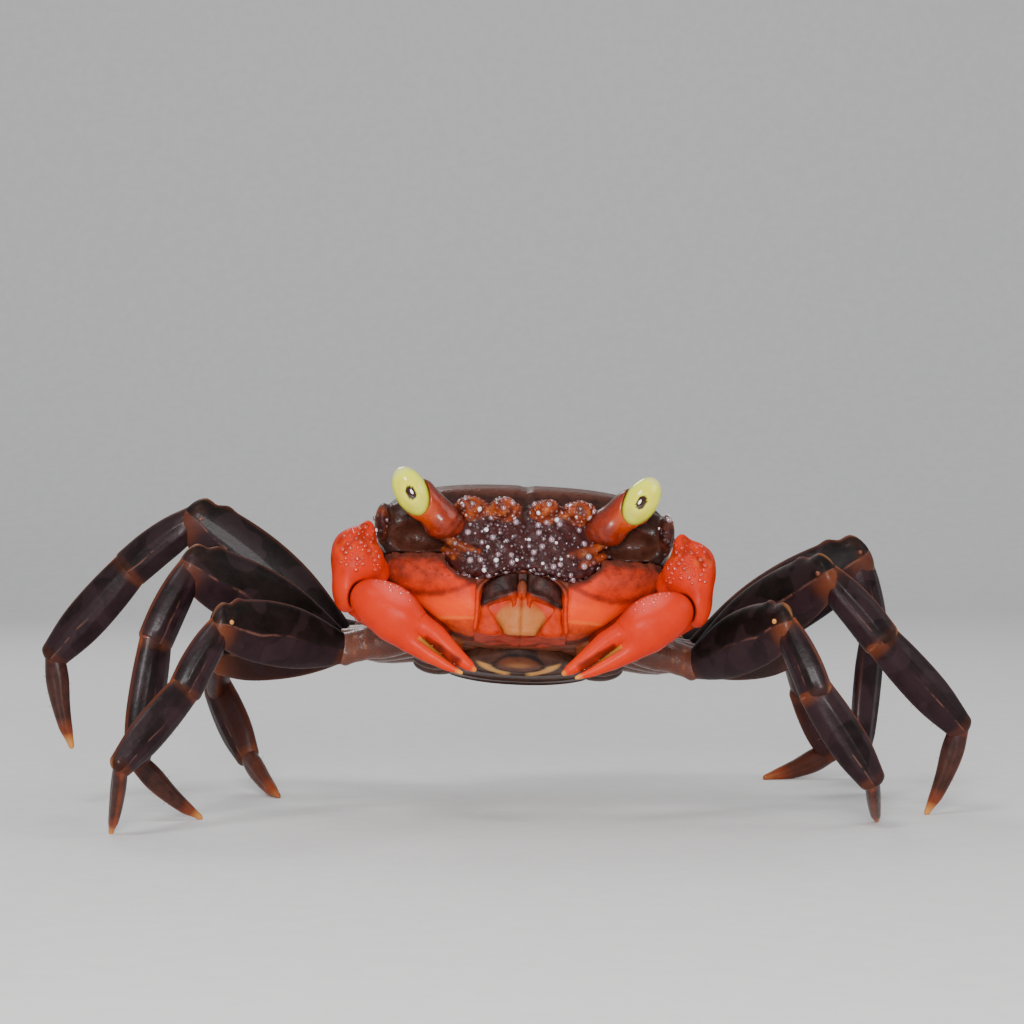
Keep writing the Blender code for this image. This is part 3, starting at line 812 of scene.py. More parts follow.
# ---------------------------------------------------------------- trunk
def trunk_field(p):
    """The plain trunk: superelliptic sections that narrow towards the underside."""
    x, y, z = p
    half, top, level, low = np.moveaxis(curve_through(TRUNK, y), -1, 0)
    tall = np.where(z > level, top - level, level - low)
    drop = np.clip((level - z) / (level - low), 0, 1)
    wide = half * (1 - TRUNK_TAPER * drop**1.5)
    px, pz = (abs(x) / wide) ** TRUNK_SQUARENESS, (abs(z - level) / tall) ** TRUNK_SQUARENESS
    total = np.maximum(px + pz, 1e-9)
    reach = total ** (1 / TRUNK_SQUARENESS)
    side = (reach - 1) * (wide * px + tall * pz) / total
    return soft_max(side, abs(y - TRUNK_MIDDLE) - TRUNK_HALF_LENGTH, 0.9)


def front_field(p):
    """The deflexed front: a plate with a wavy lower edge."""
    x, y, z = p
    forward, low = np.moveaxis(curve_through(FRONT, abs(x)), -1, 0)
    lean = 0.3 * ramp(z, 0.3, 3.0) - 0.12 * fall(z, -0.9, 0.4)
    hollow = 0.1 * bell(abs(x) - 2.9, 0.9) * bell(z - 1.1, 0.8)
    face = forward + lean + hollow - y
    sides = abs(x) - 4.6 + 0.35 * fall(z, -1.0, 0.0)
    return carve(face, (low - z, 0.25), (sides, 0.5), (z - 3.3, 0.4), (y + 5.8, 0.1))


def brow_field(p):
    """The oblique ridges that run from under the eyestalk down to the front."""
    q = (abs(p[0]), p[1], p[2])
    return np.minimum(rods(q, BROW_HIGH), rods(q, BROW_LOW))


def dorsal_relief(x, y):
    """Shallow grooves and oblique ridges of the back."""
    side = abs(x)
    mid = bell(side - 1.7 - 0.25 * y, 0.35) * ramp(y, -2.2, -1.2) * fall(y, 1.2, 2.6)
    across = bell(y - 0.3 + 0.08 * side**1.5, 0.4) * fall(side, 2.2, 3.4)
    arc = bell(y + 1.9 - 0.35 * side + 0.02 * side**2, 0.35)
    arc = arc * ramp(side, 1.8, 2.8) * fall(side, 5.6, 6.6)
    notch = bell(x, 0.3) * fall(y, -5.2, -3.6)
    ridges = np.sin((side * 0.9 + y) * 4.2) * ramp(side, 5.4, 7.2) * fall(y, 3.0, 5.0)
    return 0.17 * mid + 0.15 * across + 0.13 * arc + 0.18 * notch - 0.05 * np.maximum(ridges, 0)


def margin_level(y):
    """Height of the shell's lower edge at a place along the trunk."""
    (front_y, front_z), (back_y, back_z) = MARGIN
    share = np.clip((y - front_y) / (back_y - front_y), 0, 1)
    return front_z + (back_z - front_z) * share


def orbit_field(p):
    """The hollow that the eyestalk folds into."""
    x, y, z = p
    return blob((abs(x), y, z), *ORBIT)


def carapace_field(p):
    """The upper shell: front, lobes, tooth, orbits and brows joined to the trunk."""
    x, y, z = p
    q = (abs(x), y, z)
    field = trunk_field(p) + dorsal_relief(x, y) * ramp(z, 0.5, 2.5)
    field = soft_max(field, margin_level(y) - z + SEAM, 0.12)
    lobes = ((blob(q, *lobe), 0.22) for lobe in LOBES)
    field = join(field, (front_field(p), 0.3), *lobes, (blob(q, *TOOTH), 0.9))
    granular = fall(y, -7.0, -6.5) * fall(z, 3.2, 3.6)
    field = field - granular * (0.07 * lumps(p, 0.45) + 0.08 * lumps(p, 0.9, 2.0))
    field = soft_max(field, -orbit_field(p) + 0.04 * lumps(p, 0.55), 0.35)
    return soft_min(field, brow_field(p) - 0.09 * lumps(p, 0.4), 0.25)


def shell_masks(points):
    """Orange-brown lobes and brows, a nearly black front, and where beads stand."""
    x, y, z = points.T
    side = abs(x)
    face = fall(y, -7.1, -6.7) * fall(z, 2.1, 2.7)
    q = (side, y, z)
    lobes = sum(fall(blob(q, *lobe), 0.05, 0.4) for lobe in LOBES).clip(0, 1)
    brow = fall(brow_field(points.T), 0.0, 0.14)
    hollow = fall(orbit_field(points.T), -0.05, 0.25)
    tooth = fall(blob(q, *TOOTH), 0.0, 0.2)
    outer = ramp(side, 2.2, 3.8)
    rim = ramp(side, 7.9, 8.6) * fall(y, 1.0, 4.0)
    coarse, fine = lumps(points.T, 0.9, 2.0), lumps(points.T, 0.45)
    patches = ramp(lumps(points.T, 1.3, 5.0), 0.0, 0.5)
    stains = face * (1 - hollow) * ramp(lumps(points.T, 0.8, 7.0), 0.25, 0.6)
    # Painted shade in the crevices between the lumps of the lobes.
    crevice_shade = fall(fine, -0.5, -0.1)
    smooth = (1 - hollow) * (1 - brow)
    crowded = np.maximum(ramp(coarse, -0.3, 0.3), 0.8 * fall(side, 1.6, 3.4))
    grain = face * smooth * crowded + 0.8 * lobes + 0.1 * tooth * smooth + 0.3 * face * brow
    return {
        "warm": lobes * (0.6 + 0.4 * ramp(fine, -0.2, 0.4)) + brow * (0.5 + 0.5 * patches)
        + 0.9 * tooth * patches + (0.4 + 0.4 * outer) * stains + 0.35 * rim
        + 0.2 * hollow * fall(z, 0.4, 1.5),
        "cool": np.maximum(ramp(z, 3.6, 4.6) * (1 - lobes), 0.6 * hollow + 0.4 * tooth),
        "dark": face * smooth * (1 - lobes) + 0.6 * lobes * crevice_shade,
        "pale": (0.5 * lobes + 0.4 * brow) * ramp(fine, 0.2, 0.5),
        "grain": np.clip(grain, 0, 1) * ramp(z, -1.6, -1.2),
    }


def make_carapace():
    step = sizes().shell_step / MM
    points, faces = skin_of(carapace_field, (-9.3, -9.2, -2.2), (9.3, 8.0, 6.0), step)
    shell = add_piece("carapace_shell", placed(points, BODY), faces, "shell",
                      shell_masks(points), node="carapace")
    gap, largest = sizes().granule_gap, sizes().granule
    scatter("front_granules", shell, "beads", gap * 1.6, largest * 0.45, largest * 1.1,
            "granules", palest=0.7, seed=4)
    # White beads that paint glints of light on the wet granules of the front and the lobes.
    scatter("front_painted_glints", shell, "beads", gap * 3.0, largest * 0.4, largest * 0.85,
            "painted_glints", seed=17)
    scatter("front_grit", shell, "beads", gap * 0.85, largest * 0.3, largest * 0.75,
            "grit", palest=0.4, seed=9)


def cheek_field(p):
    """The left plate beside the mouth; its inner edge slips under the mouth's frame."""
    x, y, z = p
    field = trunk_field(p) + 0.06 * fall(x, MOUTH_HALF, MOUTH_HALF + 0.2)
    field = carve(
        soft_min(field, blob(p, *CHEEK_SWELLING), 0.4),
        (z - margin_level(y) + 0.02, 0.05),
        (y - CHEEK_BACK + 0.05, 0.1),
        (MOUTH_HALF - 0.12 - x, 0.02),
        (SEAM - front_field(p), 0.04),
        (-orbit_field(p), 0.2),
    )
    return field - 0.09 * lumps(p, 0.45) * ramp(z, -1.1, 0.0)


def make_cheeks():
    points, faces = skin_of(cheek_field, (2.5, -8.3, -4.9), (9.0, -3.9, 0.7), 0.09)
    x, y, z = points.T
    upper = ramp(z, -1.3, -0.2)
    lower = fall(z, -3.55, -3.3)
    # Painted shadow of the overhanging front on the cheek.
    shadow_under_front = fall(front_field(points.T), 0.05, 0.7)
    # Painted shade along the crease under the cheek's swelling.
    crease_shade = bell(z + 2.05 - 0.12 * (x - 5.3) ** 2, 0.16) * fall(y, -6.4, -5.8)
    outer = ramp(x, 5.4, 7.8) * ramp(z, -2.0, -1.0)
    masks = {
        "warm": fall(z, -2.6, -1.8) * fall(x, 4.0, 6.5),
        "cool": 0.55 * upper * ramp(lumps(points.T, 0.45), -0.5, 0.2) + 0.6 * crease_shade
        + 0.4 * outer + 0.8 * shadow_under_front,
        # dark: painted shade under the orbit at the top, in the crease and under the front; darker
        # towards the back and the bottom.
        "dark": 0.6 * ramp(z, -0.5, 0.35) + 0.25 * crease_shade + ramp(y, -5.6, -4.6)
        + 0.4 * lower + 0.9 * ramp(shadow_under_front, 0.3, 1.0),
        "pale": 0.5 * bell(z + 3.35, 0.09) * fall(y, -6.2, -5.8),
        "grain": upper * 0.8 * fall(y, -6.6, -6.0),
    }
    for side in SIDE_SIGN:
        name = f"cheek_{side}"
        local, sided = for_side(side, points, faces)
        if side == "right":  # the photo's right cheek is in shade towards the mouth
            shade = 0.15 + 0.4 * ramp(z, -2.2, -0.9) * ramp(x, 3.6, 5.6)
            masks["dark"] = masks["dark"] + shade * ramp(z, -2.9, -2.0)
        cheek = add_piece(f"{name}_plate", placed(local, BODY), sided, "cheek", masks, node=name)
        scatter(f"{name}_grains", cheek, "beads", 0.24 * MM, 0.04 * MM, 0.09 * MM,
                "cheek", seed=11 + SIDE_SIGN[side])


def sternum_field(p):
    """The underside with its grooves and the domes where the legs are set in."""
    x, y, z = p
    field = trunk_field(p)
    side = abs(x)
    for at in STERNAL_GROOVES:
        groove = bell(y - at - 0.12 * side, 0.16) * ramp(side, 1.2, 2.4)
        field = field + 0.16 * groove * fall(z, -3.2, -2.0)
    coxae = ((blob((side, y, z), (4.9, at, -4.5), COXA_RADII), 0.2) for at in COXAE_AT)
    field = join(field, *coxae)
    return carve(field, (z - margin_level(y) + SEAM, 0.12), (CHEEK_BACK + 0.05 - y, 0.1))


def make_sternum():
    points, faces = skin_of(sternum_field, (-9.2, -4.4, -5.8), (9.2, 8.0, -1.5), 0.13)
    x, y, z = points.T
    masks = {
        "warm": fall(y, -3.5, 1.0) * 0.7,
        "cool": ramp(abs(x), 5.0, 7.0) * 0.6,
        "dark": ramp(z, -3.2, -2.0) * 0.7,
    }
    add_piece("sternum_plate", placed(points, BODY), faces, "belly", masks, node="sternum")


ABDOMEN_RINGS, ABDOMEN_AROUND = 150, 64
ABDOMEN_SQUARENESS = 2.6
SEGMENTS_END = 0.8  # share of the abdomen's length where its last segment, the telson, begins
SEGMENTS = 6


def abdomen_points():
    """Points of the folded tail, ring after ring from its root, and each one's share along."""
    table = np.array(ABDOMEN)
    runs = np.hypot(np.diff(table[:, 0]), np.diff(table[:, 1]))
    place = np.concatenate([[0], np.cumsum(runs)]) / runs.sum()
    share = np.linspace(0, 1, ABDOMEN_RINGS)
    y, z, half = curve_through(np.column_stack([place, table]), share).T
    run_y, run_z = np.gradient(y), np.gradient(z)
    size = np.hypot(run_y, run_z)
    normal = np.stack([0 * y, -run_z / size, run_y / size], 1)
    turn = -math.tau * (np.arange(ABDOMEN_AROUND) + 0.5) / ABDOMEN_AROUND
    px, pn = (
        np.sign(way) * abs(way) ** (2 / ABDOMEN_SQUARENESS) for way in (np.cos(turn), np.sin(turn))
    )
    part = np.minimum(share / SEGMENTS_END, 1) * SEGMENTS
    step = np.where(share < SEGMENTS_END, 0.1 * (part % 1) ** 2, 0.05)
    close = np.sqrt(np.clip(1 - ((share - 0.9) / 0.1).clip(0) ** 2.4, 0.0004, 1))
    close = close * np.sqrt(np.clip(1 - ((0.03 - share) / 0.03).clip(0) ** 2, 0.0004, 1))
    depth = (ABDOMEN_HALF_DEPTH + step) * close
    wide = (half + 0.15 + 0.06 * np.sin(part * math.pi) ** 2) * close
    points = np.stack([wide[:, None] * px, y[:, None] + 0 * px, z[:, None] + 0 * px], 2)
    dome = 1 + 0.35 * (1 - px**2)
    inward = np.where(pn < 0, ABDOMEN_SEATING, 1)
    points = points + (depth[:, None] * pn * dome * inward)[..., None] * normal[:, None]
    poles = np.array([points[0].mean(0), points[-1].mean(0)])
    points = np.concatenate([points.reshape(-1, 3), poles])
    return points, np.append(np.repeat(share, ABDOMEN_AROUND), [0, 1])


def make_abdomen():
    """The rings of the folded tail and the rounded telson with a golden band on each side."""
    points, share = abdomen_points()
    x, y = abs(points[:, 0]), points[:, 1]
    seam = bell(share / SEGMENTS_END * SEGMENTS % 1 - 0.97, 0.06) * (share < 0.82)
    telson = np.hypot(x / TELSON_RADII[0], (y - TELSON_AT[1]) / TELSON_RADII[1])
    on_telson = fall(telson, 0.95, 1.05) * (share > 0.6)
    bands = np.exp(-(((telson - 1.42) / 0.3) ** 4)) * (share > 0.5)
    bands = bands * ramp(x, 0.3, 0.7) * ramp(y, -2.6, -2.25)
    middle = bell(x, 1.0) * bell(y + 2.7, 0.5)
    edge = bell(telson - 1.02, 0.07) * (share > 0.6)
    masks = {
        "warm": on_telson * (0.4 + 0.3 * middle),
        "cool": 0.9 * (1 - on_telson),
        "dark": 0.8 * seam * (1 - bands) + 0.25 * on_telson * (1 - middle) + edge,
        "pale": np.clip(bands + 0.3 * on_telson * middle, 0, 1) * (1 - edge),
    }
    faces = tube_faces(ABDOMEN_RINGS, ABDOMEN_AROUND)
    add_piece("abdomen_rings", placed(points, BODY), faces, "belly", masks, node="abdomen")


# ---------------------------------------------------------------- mouth
def arch_half(z):
    """Half width of the mouth's arch at a height."""
    arch = np.sqrt(np.clip(1 - ((z + 2.1) / 1.45).clip(0) ** 2.3, 0, 1))
    return 2.45 * arch + 0.1 * fall(z, -4.4, -3.0)


def mouth_frame_field(p):
    """The block between the cheeks, hollowed by the mouth's arch, with its raised rim."""
    x, y, z = p
    inner = abs(x) - arch_half(z)
    cavity = carve(inner, (y + 7.0, 0.15), (-4.3 - z, 0.1))
    field = carve(
        trunk_field(p),
        (abs(x) - MOUTH_HALF + 0.01, 0.02),
        (y - CHEEK_BACK + 0.05, 0.1),
        (z + 0.35, 0.1),
        (-cavity, 0.1),
        (-z - 4.25 - 0.8 * (y + 7.1), 0.3),
    )
    rim = np.sqrt((inner - 0.1) ** 2 + (y + 7.08) ** 2) - 0.14
    rim = carve(rim, (-4.2 - z, 0.3), (z + 0.3, 0.1))
    plates = lozenge_field(p)
    field = join(field, (rim, 0.12), (plates, 0.05), (blob(p, *EPISTOME), 0.15))
    return field - 0.05 * lumps(p, 0.6) * fall(z, -4.4, -4.1)


def lozenge_field(p):
    """The pale plates that show between the palps, split along the middle."""
    x, y, z = p
    upper = 0.6 * abs(x) + 0.8 * (z + 3.1) - 1.08
    outline = carve(upper, (0.85 * abs(x) - 0.52 * (z + 3.1) - 1.36, 0.3), (-4.3 - z, 0.2))
    face = abs(y + 6.85 - 0.1 * x**2) - 0.26
    split = 0.12 * bell(x, 0.07)
    return soft_max(outline, face + split, 0.3)


PALP = ((2.0, -6.95, -2.55, 0.14), (1.2, -7.05, -2.2, 0.2), (0.5, -7.1, -2.0, 0.2),
        (0.42, -7.08, -2.45, 0.14), (0.5, -7.0, -2.8, 0.06))


def palp_line(x, z):
    """Above 0 on a maxilliped's merus and below 0 on its ischium."""
    return z + 1.62 + 0.48 * x


def maxilliped_field(p):
    """Dark merus above, orange ischium below, and the palp between them."""
    x, y, z = p
    inside = x - (arch_half(z) - 0.1)
    slant = palp_line(x, z)
    bulge = 0.16 * bell(x - 1.2, 0.9)
    plate = soft_max(inside, abs(y + 6.92) - 0.26 - bulge, 0.25)
    merus = carve(plate, (-slant, 0.2), (0.22 - x, 0.2))
    gap_edge = 1.75 + (z + 3.0) * 0.667
    lower_edge = -4.4 + 0.25 * abs(x - 1.7) ** 2
    ischium = carve(plate, (slant + 0.06, 0.2), (gap_edge - x, 0.3), (lower_edge - z, 0.35))
    field = join(merus, (ischium, 0.1), (rods(p, PALP), 0.3))
    return field - 0.02 * lumps(p, 0.5)


def make_mouth_frame(step):
    """The orange frame of the mouth with its arch, its pale plates and painted shade in the hollow
    behind them.
    """
    box = (-2.95, -7.9, -4.9), (2.95, -3.95, 0.1)
    points, faces = skin_of(mouth_frame_field, *box, step)
    x, y, z = points.T
    above_floor = ramp(z, -4.3, -4.0)
    # deep and a little of within paint shade in the hollow behind the plates.
    deep = ramp(y, -7.08, -7.03) * (abs(x) < arch_half(z)) * above_floor
    pale = fall(lozenge_field(points.T), -0.02, 0.06)
    within = (abs(x) < arch_half(z) - 0.1) * (1 - pale) * above_floor * fall(z, -2.1, -1.7)
    ledge = z < -4.2
    grooves = ramp(np.sin(z * 22 + 2 * np.cos(x * 2)), 0.2, 0.9)
    masks = {
        "warm": ramp(abs(x), 1.8, 2.3) * fall(z, -2.2, -1.2) * ramp(z, -4.4, -4.0)
        + 0.7 * pale * ramp(z, -3.0, -2.4) + within + 0.5 * ledge,
        "cool": ramp(z, -2.3, -1.5) * 0.5 * (1 - pale),
        "dark": 0.1 * within + 0.8 * deep * (1 - pale) * ramp(z, -2.2, -1.6)
        + 0.5 * bell(x, 0.06) * (z < -1.9) + 0.3 * grooves * ledge,
        "pale": np.maximum(
            pale * (0.3 + 0.55 * fall(z, -3.0, -2.5)),
            0.15 * fall(abs(x), 0.2, 0.4) * ramp(z, -2.4, -2.1) * fall(z, -1.3, -1.0),
        ),
    }
    add_piece("mouth_arch", placed(points, BODY), faces, "mouth", masks, node="mouth_frame")


def make_maxillipeds(step):
    """The plates that close the mouth, each with its palp."""
    points, faces = skin_of(maxilliped_field, (0.0, -7.8, -4.6), (2.6, -6.4, -0.6), step)
    x, _, z = points.T
    slant = palp_line(x, z)
    on_palp = fall(rods(points.T, PALP), 0.01, 0.08)
    masks = {
        "warm": np.maximum(fall(slant, -0.2, -0.05), 0.6 * on_palp),
        "dark": np.maximum(ramp(slant, -0.06, 0.06) * (1 - on_palp),
                           0.15 + 0.2 * ramp(lumps(points.T, 0.9), 0.0, 0.5)),
        "pale": 0.1 * on_palp,
    }
    for side in SIDE_SIGN:
        name = f"maxilliped_{side}"
        local, sided = for_side(side, points, faces)
        add_piece(f"{name}_plates", placed(local, BODY), sided, "mouth", masks, node=name)


def make_mouth():
    step = sizes().fine_step / MM * 0.75
    make_mouth_frame(step * 1.15)
    make_maxillipeds(step)


# ---------------------------------------------------------------- eyes
def ball(radii, rings=40, around=56):
    """Points, faces and unit directions of an ellipsoid with its poles on Z."""
    turn = math.tau * np.arange(around) / around
    down = math.pi * (np.arange(rings) + 1) / (rings + 1)
    ways = np.stack([
        -np.sin(down)[:, None] * np.cos(turn),
        np.sin(down)[:, None] * np.sin(turn),
        np.cos(down)[:, None] + 0 * turn,
    ], 2).reshape(-1, 3)
    ways = np.concatenate([ways, [(0, 0, 1), (0, 0, -1)]])
    faces = tube_faces(rings, around)
    return ways * radii, faces, ways


def make_eye(side, place):
    """The yellow eye with the dark spot that always seems to look at the viewer, painted light on
    its top and painted shade below and at its rim.
    """
    points, faces, ways = ball(EYE_RADII)
    facing = -placed(ways, place.to_3x3().to_4x4())[:, 1]
    up = ways[:, 2]
    # cool paints shade below and towards the rim that turns from the viewer, and pale paints light
    # on the top.
    masks = {
        "warm": 0.35 * ramp(facing, 0.55, 0.85) * fall(facing, 0.9, 0.98),
        "cool": fall(up, -0.9, -0.2) * 0.4 + 0.6 * fall(facing, 0.15, 0.5),
        "dark": ramp(facing, 0.95, 0.965),
        "pale": ramp(up, 0.45, 0.95) * 0.9,
    }
    name = f"eye_{side}"
    add_piece(f"{name}_cornea", placed(points, place), faces, "eye", masks, node=name)


def make_stalk(side, base, eye_at, tilt):
    """The stalk from its base to the eye, which sits in a socket with a thin rim."""
    line = eye_at - base
    reach = line.length
    stalk_frame = frame_along(base, line)
    socket = (Matrix.Translation(eye_at) @ tilt).inverted() @ stalk_frame

    def stalk_field(p):
        neck = rods(p, ((-0.3, 0, 0, 0.95), (0.6, 0, 0, 1.0), (reach - 0.6, 0, 0, 1.12)))
        neck = soft_min(neck, blob(p, (0.2, 0, -0.25), (0.9, 1.05, 1.05)), 0.4)
        folds = 0.012 * np.sin(p[0] * 14 + 2 * p[1]) * fall(p[0], -0.2, 0.9)
        neck = neck - folds - 0.04 * lumps(p, 0.8)
        x, y, z = seen_from(p, socket)
        rim = np.hypot(x / EYE_RADII[0], z / EYE_RADII[2]) - 1.0
        return soft_max(neck, -np.maximum(rim, y - 0.15), 0.06)

    points, faces = skin_of(stalk_field, (-1.6, -1.6, -1.6), (reach + 1.2, 1.6, 1.6), 0.08)
    along, up = points[:, 0] / reach, points[:, 2]
    masks = {
        "warm": 0.8 * fall(up, -0.8, 0.3) * ramp(along, 0.1, 0.6),
        "cool": 0.9 * ramp(up, 0.0, 0.8) + 0.25 * fall(along, 0.1, 0.5),
        "dark": 0.3 * fall(along, -0.15, 0.1),
    }
    name = f"eyestalk_{side}"
    add_piece(f"{name}_skin", placed(points, BODY @ stalk_frame), faces, "stalk", masks, node=name)


def make_eyes():
    for side, sign in SIDE_SIGN.items():
        base, eye_at = on_side(STALK_BASE, side), on_side(EYE_AT, side)
        tilt = Matrix.Rotation(math.radians(EYE_TILT) * sign, 4, "Y")
        make_eye(side, BODY @ Matrix.Translation(eye_at) @ tilt)
        make_stalk(side, base, eye_at, tilt)


# ---------------------------------------------------------------- limbs
def limb_grid(reach, profile, girth=1.0, lens=1.3):
    """Points of a domed limb along X with its fraction along and its height across.

    The section is a superellipse: crest bends its height and lens its thickness.
    """
    rings, around, cap_rings, crest = 60, 56, 6, 0.9
    share = np.linspace(0, 1, rings)
    height, thick, lift = (curve_through(profile, share) * (girth, girth, 1)).T
    bow = np.linspace(0, math.pi / 2, cap_rings + 1)[1:-1]
    start_cap, end_cap = CAP_REACH * thick[[0, -1]]
    x = np.concatenate([
        -start_cap * np.sin(bow[::-1]), share * reach, reach + end_cap * np.sin(bow),
    ])

    def ends(values, shrink=True):
        cap = np.cos(bow) if shrink else np.ones(len(bow))
        return np.concatenate([values[0] * cap[::-1], values, values[-1] * cap])

    height, thick, lift = ends(height), ends(thick), ends(lift, False)
    turn = math.tau * np.arange(around) / around
    c, s = np.cos(turn), np.sin(turn)
    y = thick[:, None] * c * abs(c) ** (lens - 1)
    z = lift[:, None] + height[:, None] * np.sign(s) * abs(s) ** crest
    points = np.stack([x[:, None] + 0 * c, y, z], 2)
    along = np.repeat(x / reach, around).reshape(len(x), around)
    tall = np.tile(np.sign(s) * abs(s) ** crest, (len(x), 1))
    return points, along, tall


def close_grid(points, *values):
    """Adds the two poles of a limb's grid, a little beyond its end rings, and its faces."""
    rings, around = points.shape[:2]
    middle = points.mean(1)
    poles = middle[[0, -1]] + (middle[[0, -1]] - middle[[1, -2]]) * 0.12
    flat = np.concatenate([points.reshape(-1, 3), poles])
    ends = [np.concatenate([v.reshape(-1), [v[0].mean(), v[-1].mean()]]) for v in values]
    return flat, tube_faces(rings, around), *ends


def leg_frame(origin, sign, swing, rise):
    """Axes of a leg segment: X along it, Y across the leg's plane, Z up in that plane."""
    a, r = math.radians(swing), math.radians(rise)
    out = Vector((sign * math.cos(a), -math.sin(a), 0))
    up = Vector((0, 0, 1))
    x = out * math.cos(r) + up * math.sin(r)
    z = up * math.cos(r) - out * math.sin(r)
    y = z.cross(x)
    return Matrix.Translation(origin) @ Matrix((x, y, z)).transposed().to_4x4()


def dactylus_rise(knuckle_height, reach, girth, way):
    """The rise in degrees at which the toe's tip rests on the floor, unless it is given."""
    if way not in ("out", "tucked"):
        return way
    tip_radius = LIMB_PROFILES["dactylus"][-1][1] * girth
    drop = knuckle_height - (tip_radius - FOOT_SINK)
    fall = math.degrees(math.asin(min(1, drop / reach)))
    return -fall if way == "out" else fall - 180


def leg_chain(side, number):
    """The segments of one leg: title, world frame, length."""
    sign = SIDE_SIGN[side]
    root, hip = (on_side(place[number], side) for place in (LEG_ROOT, LEG_HIP))
    chain = [("base", BODY @ frame_along(root, hip - root), (hip - root).length)]
    merus, carpus, propodus, swing, way = LEG_POSE[side, number]
    poses = (merus, carpus, propodus, (swing, way))
    joint = BODY @ hip
    titles = ("merus", "carpus", "propodus", "dactylus")
    for title, pose, reach in zip(titles, poses, LEG_LENGTHS[number]):
        turn, rise = pose
        if title == "dactylus":
            rise = dactylus_rise(joint.z, reach, LEG_GIRTH[number], rise)
        place = leg_frame(joint, sign, turn, rise)
        chain.append((title, place, reach))
        joint = place @ Vector((reach, 0, 0))
    return chain


def segment_masks(title, along, tall):
    """Where a leg segment is orange-brown, grey, dark or pale."""
    top, bottom = ramp(tall, 0.86, 0.99), fall(tall, -1.0, -0.9)
    near, far = fall(along, 0.0, 0.14), ramp(along, 0.9, 1.02)
    if title == "base":
        folds = np.maximum(0, np.sin(along * 40 + 2 * tall)) * ramp(along, 0.3, 0.6)
        return {
            "warm": 0.35 + 0.15 * folds,
            "cool": 0.2 * far,
            "dark": 0.4 * near,
            "pale": 0.2 * folds * ramp(np.sin(tall * 7 + along * 6), 0.2, 0.8),
        }
    if title == "dactylus":
        edges = ramp(abs(tall), 0.75, 0.95)
        return {
            "warm": 0.5 * top + 0.6 * near + 0.7 * ramp(along, 0.62, 0.9),
            "cool": 0.4 * fall(along, 0.1, 0.5),
            "dark": 0.3 * fall(abs(tall), 0.0, 0.3),
            "pale": 0.9 * ramp(along, 0.83, 1.0),
            "grain": 0.6 * edges * fall(along, 0.7, 0.9) * ramp(along, 0.1, 0.3),
        }
    upper = {"merus": 0.95, "carpus": 0.6, "propodus": 0.5}[title]
    masks = {
        "cool": upper * ramp(tall, -0.12, 0.02) * (1 - top),
        "pale": 0.25 * ramp(along, 0.97, 1.03) * ramp(abs(tall), 0.75, 1.0),
    }
    knee = 0
    if title == "merus":
        knee = ramp(along, 0.8, 1.0)
        masks["dark"] = 0.25 * fall(along, 0.0, 0.25) + 0.4 * ramp(tall, -0.1, 0.1)
    elif title == "carpus":
        knee = fall(along, 0.0, 0.4)
    else:
        masks["grain"] = 0.5 * bottom * ramp(along, 0.1, 0.2) * fall(along, 0.8, 0.95)
    masks["warm"] = 0.5 * top + 0.2 * bottom + 0.6 * near + 0.35 * far + 0.3 * knee
    return masks


def shape_segment(title, points, along, tall):
    """Ridges, the merus tooth and the flared rims that the plain profile lacks."""
    x, y, z = np.moveaxis(points, -1, 0)
    flank = np.sign(y) * np.sqrt(np.clip(1 - tall**2, 0, 1))
    if title == "merus":
        tooth = bell(along - 0.9, 0.035) * ramp(tall, 0.8, 1.0)
        dent = bell(along - 0.955, 0.025) * ramp(tall, 0.3, 1.0)
        z = z + 0.15 * tooth - 0.12 * dent
        ridge = bell(tall + 0.05, 0.09) * ramp(along, 0.2, 0.5) * fall(along, 0.9, 1)
        y = y + 0.05 * flank * ridge
    elif title in ("carpus", "propodus"):
        ridge = bell(tall - 0.25, 0.13) + 0.7 * bell(tall + 0.4, 0.13)
        y = y + 0.09 * flank * ridge * ramp(along, 0.05, 0.3) * fall(along, 0.85, 1.0)
    elif title == "dactylus":
        grooves = bell(tall, 0.25)
        y = y - 0.06 * flank * grooves * ramp(along, 0.1, 0.3) * fall(along, 0.7, 0.9)
        taper = 1 - 0.35 * ramp(along, 0.8, 1.02)
        y, z = y * taper, z * taper
    elif title == "base":
        rings = np.sin(along * 26) * ramp(along, 0.35, 0.6)
        y, z = y * (1 + 0.02 * rings), z * (1 + 0.02 * rings)
    return np.stack([x, y, z], 2)


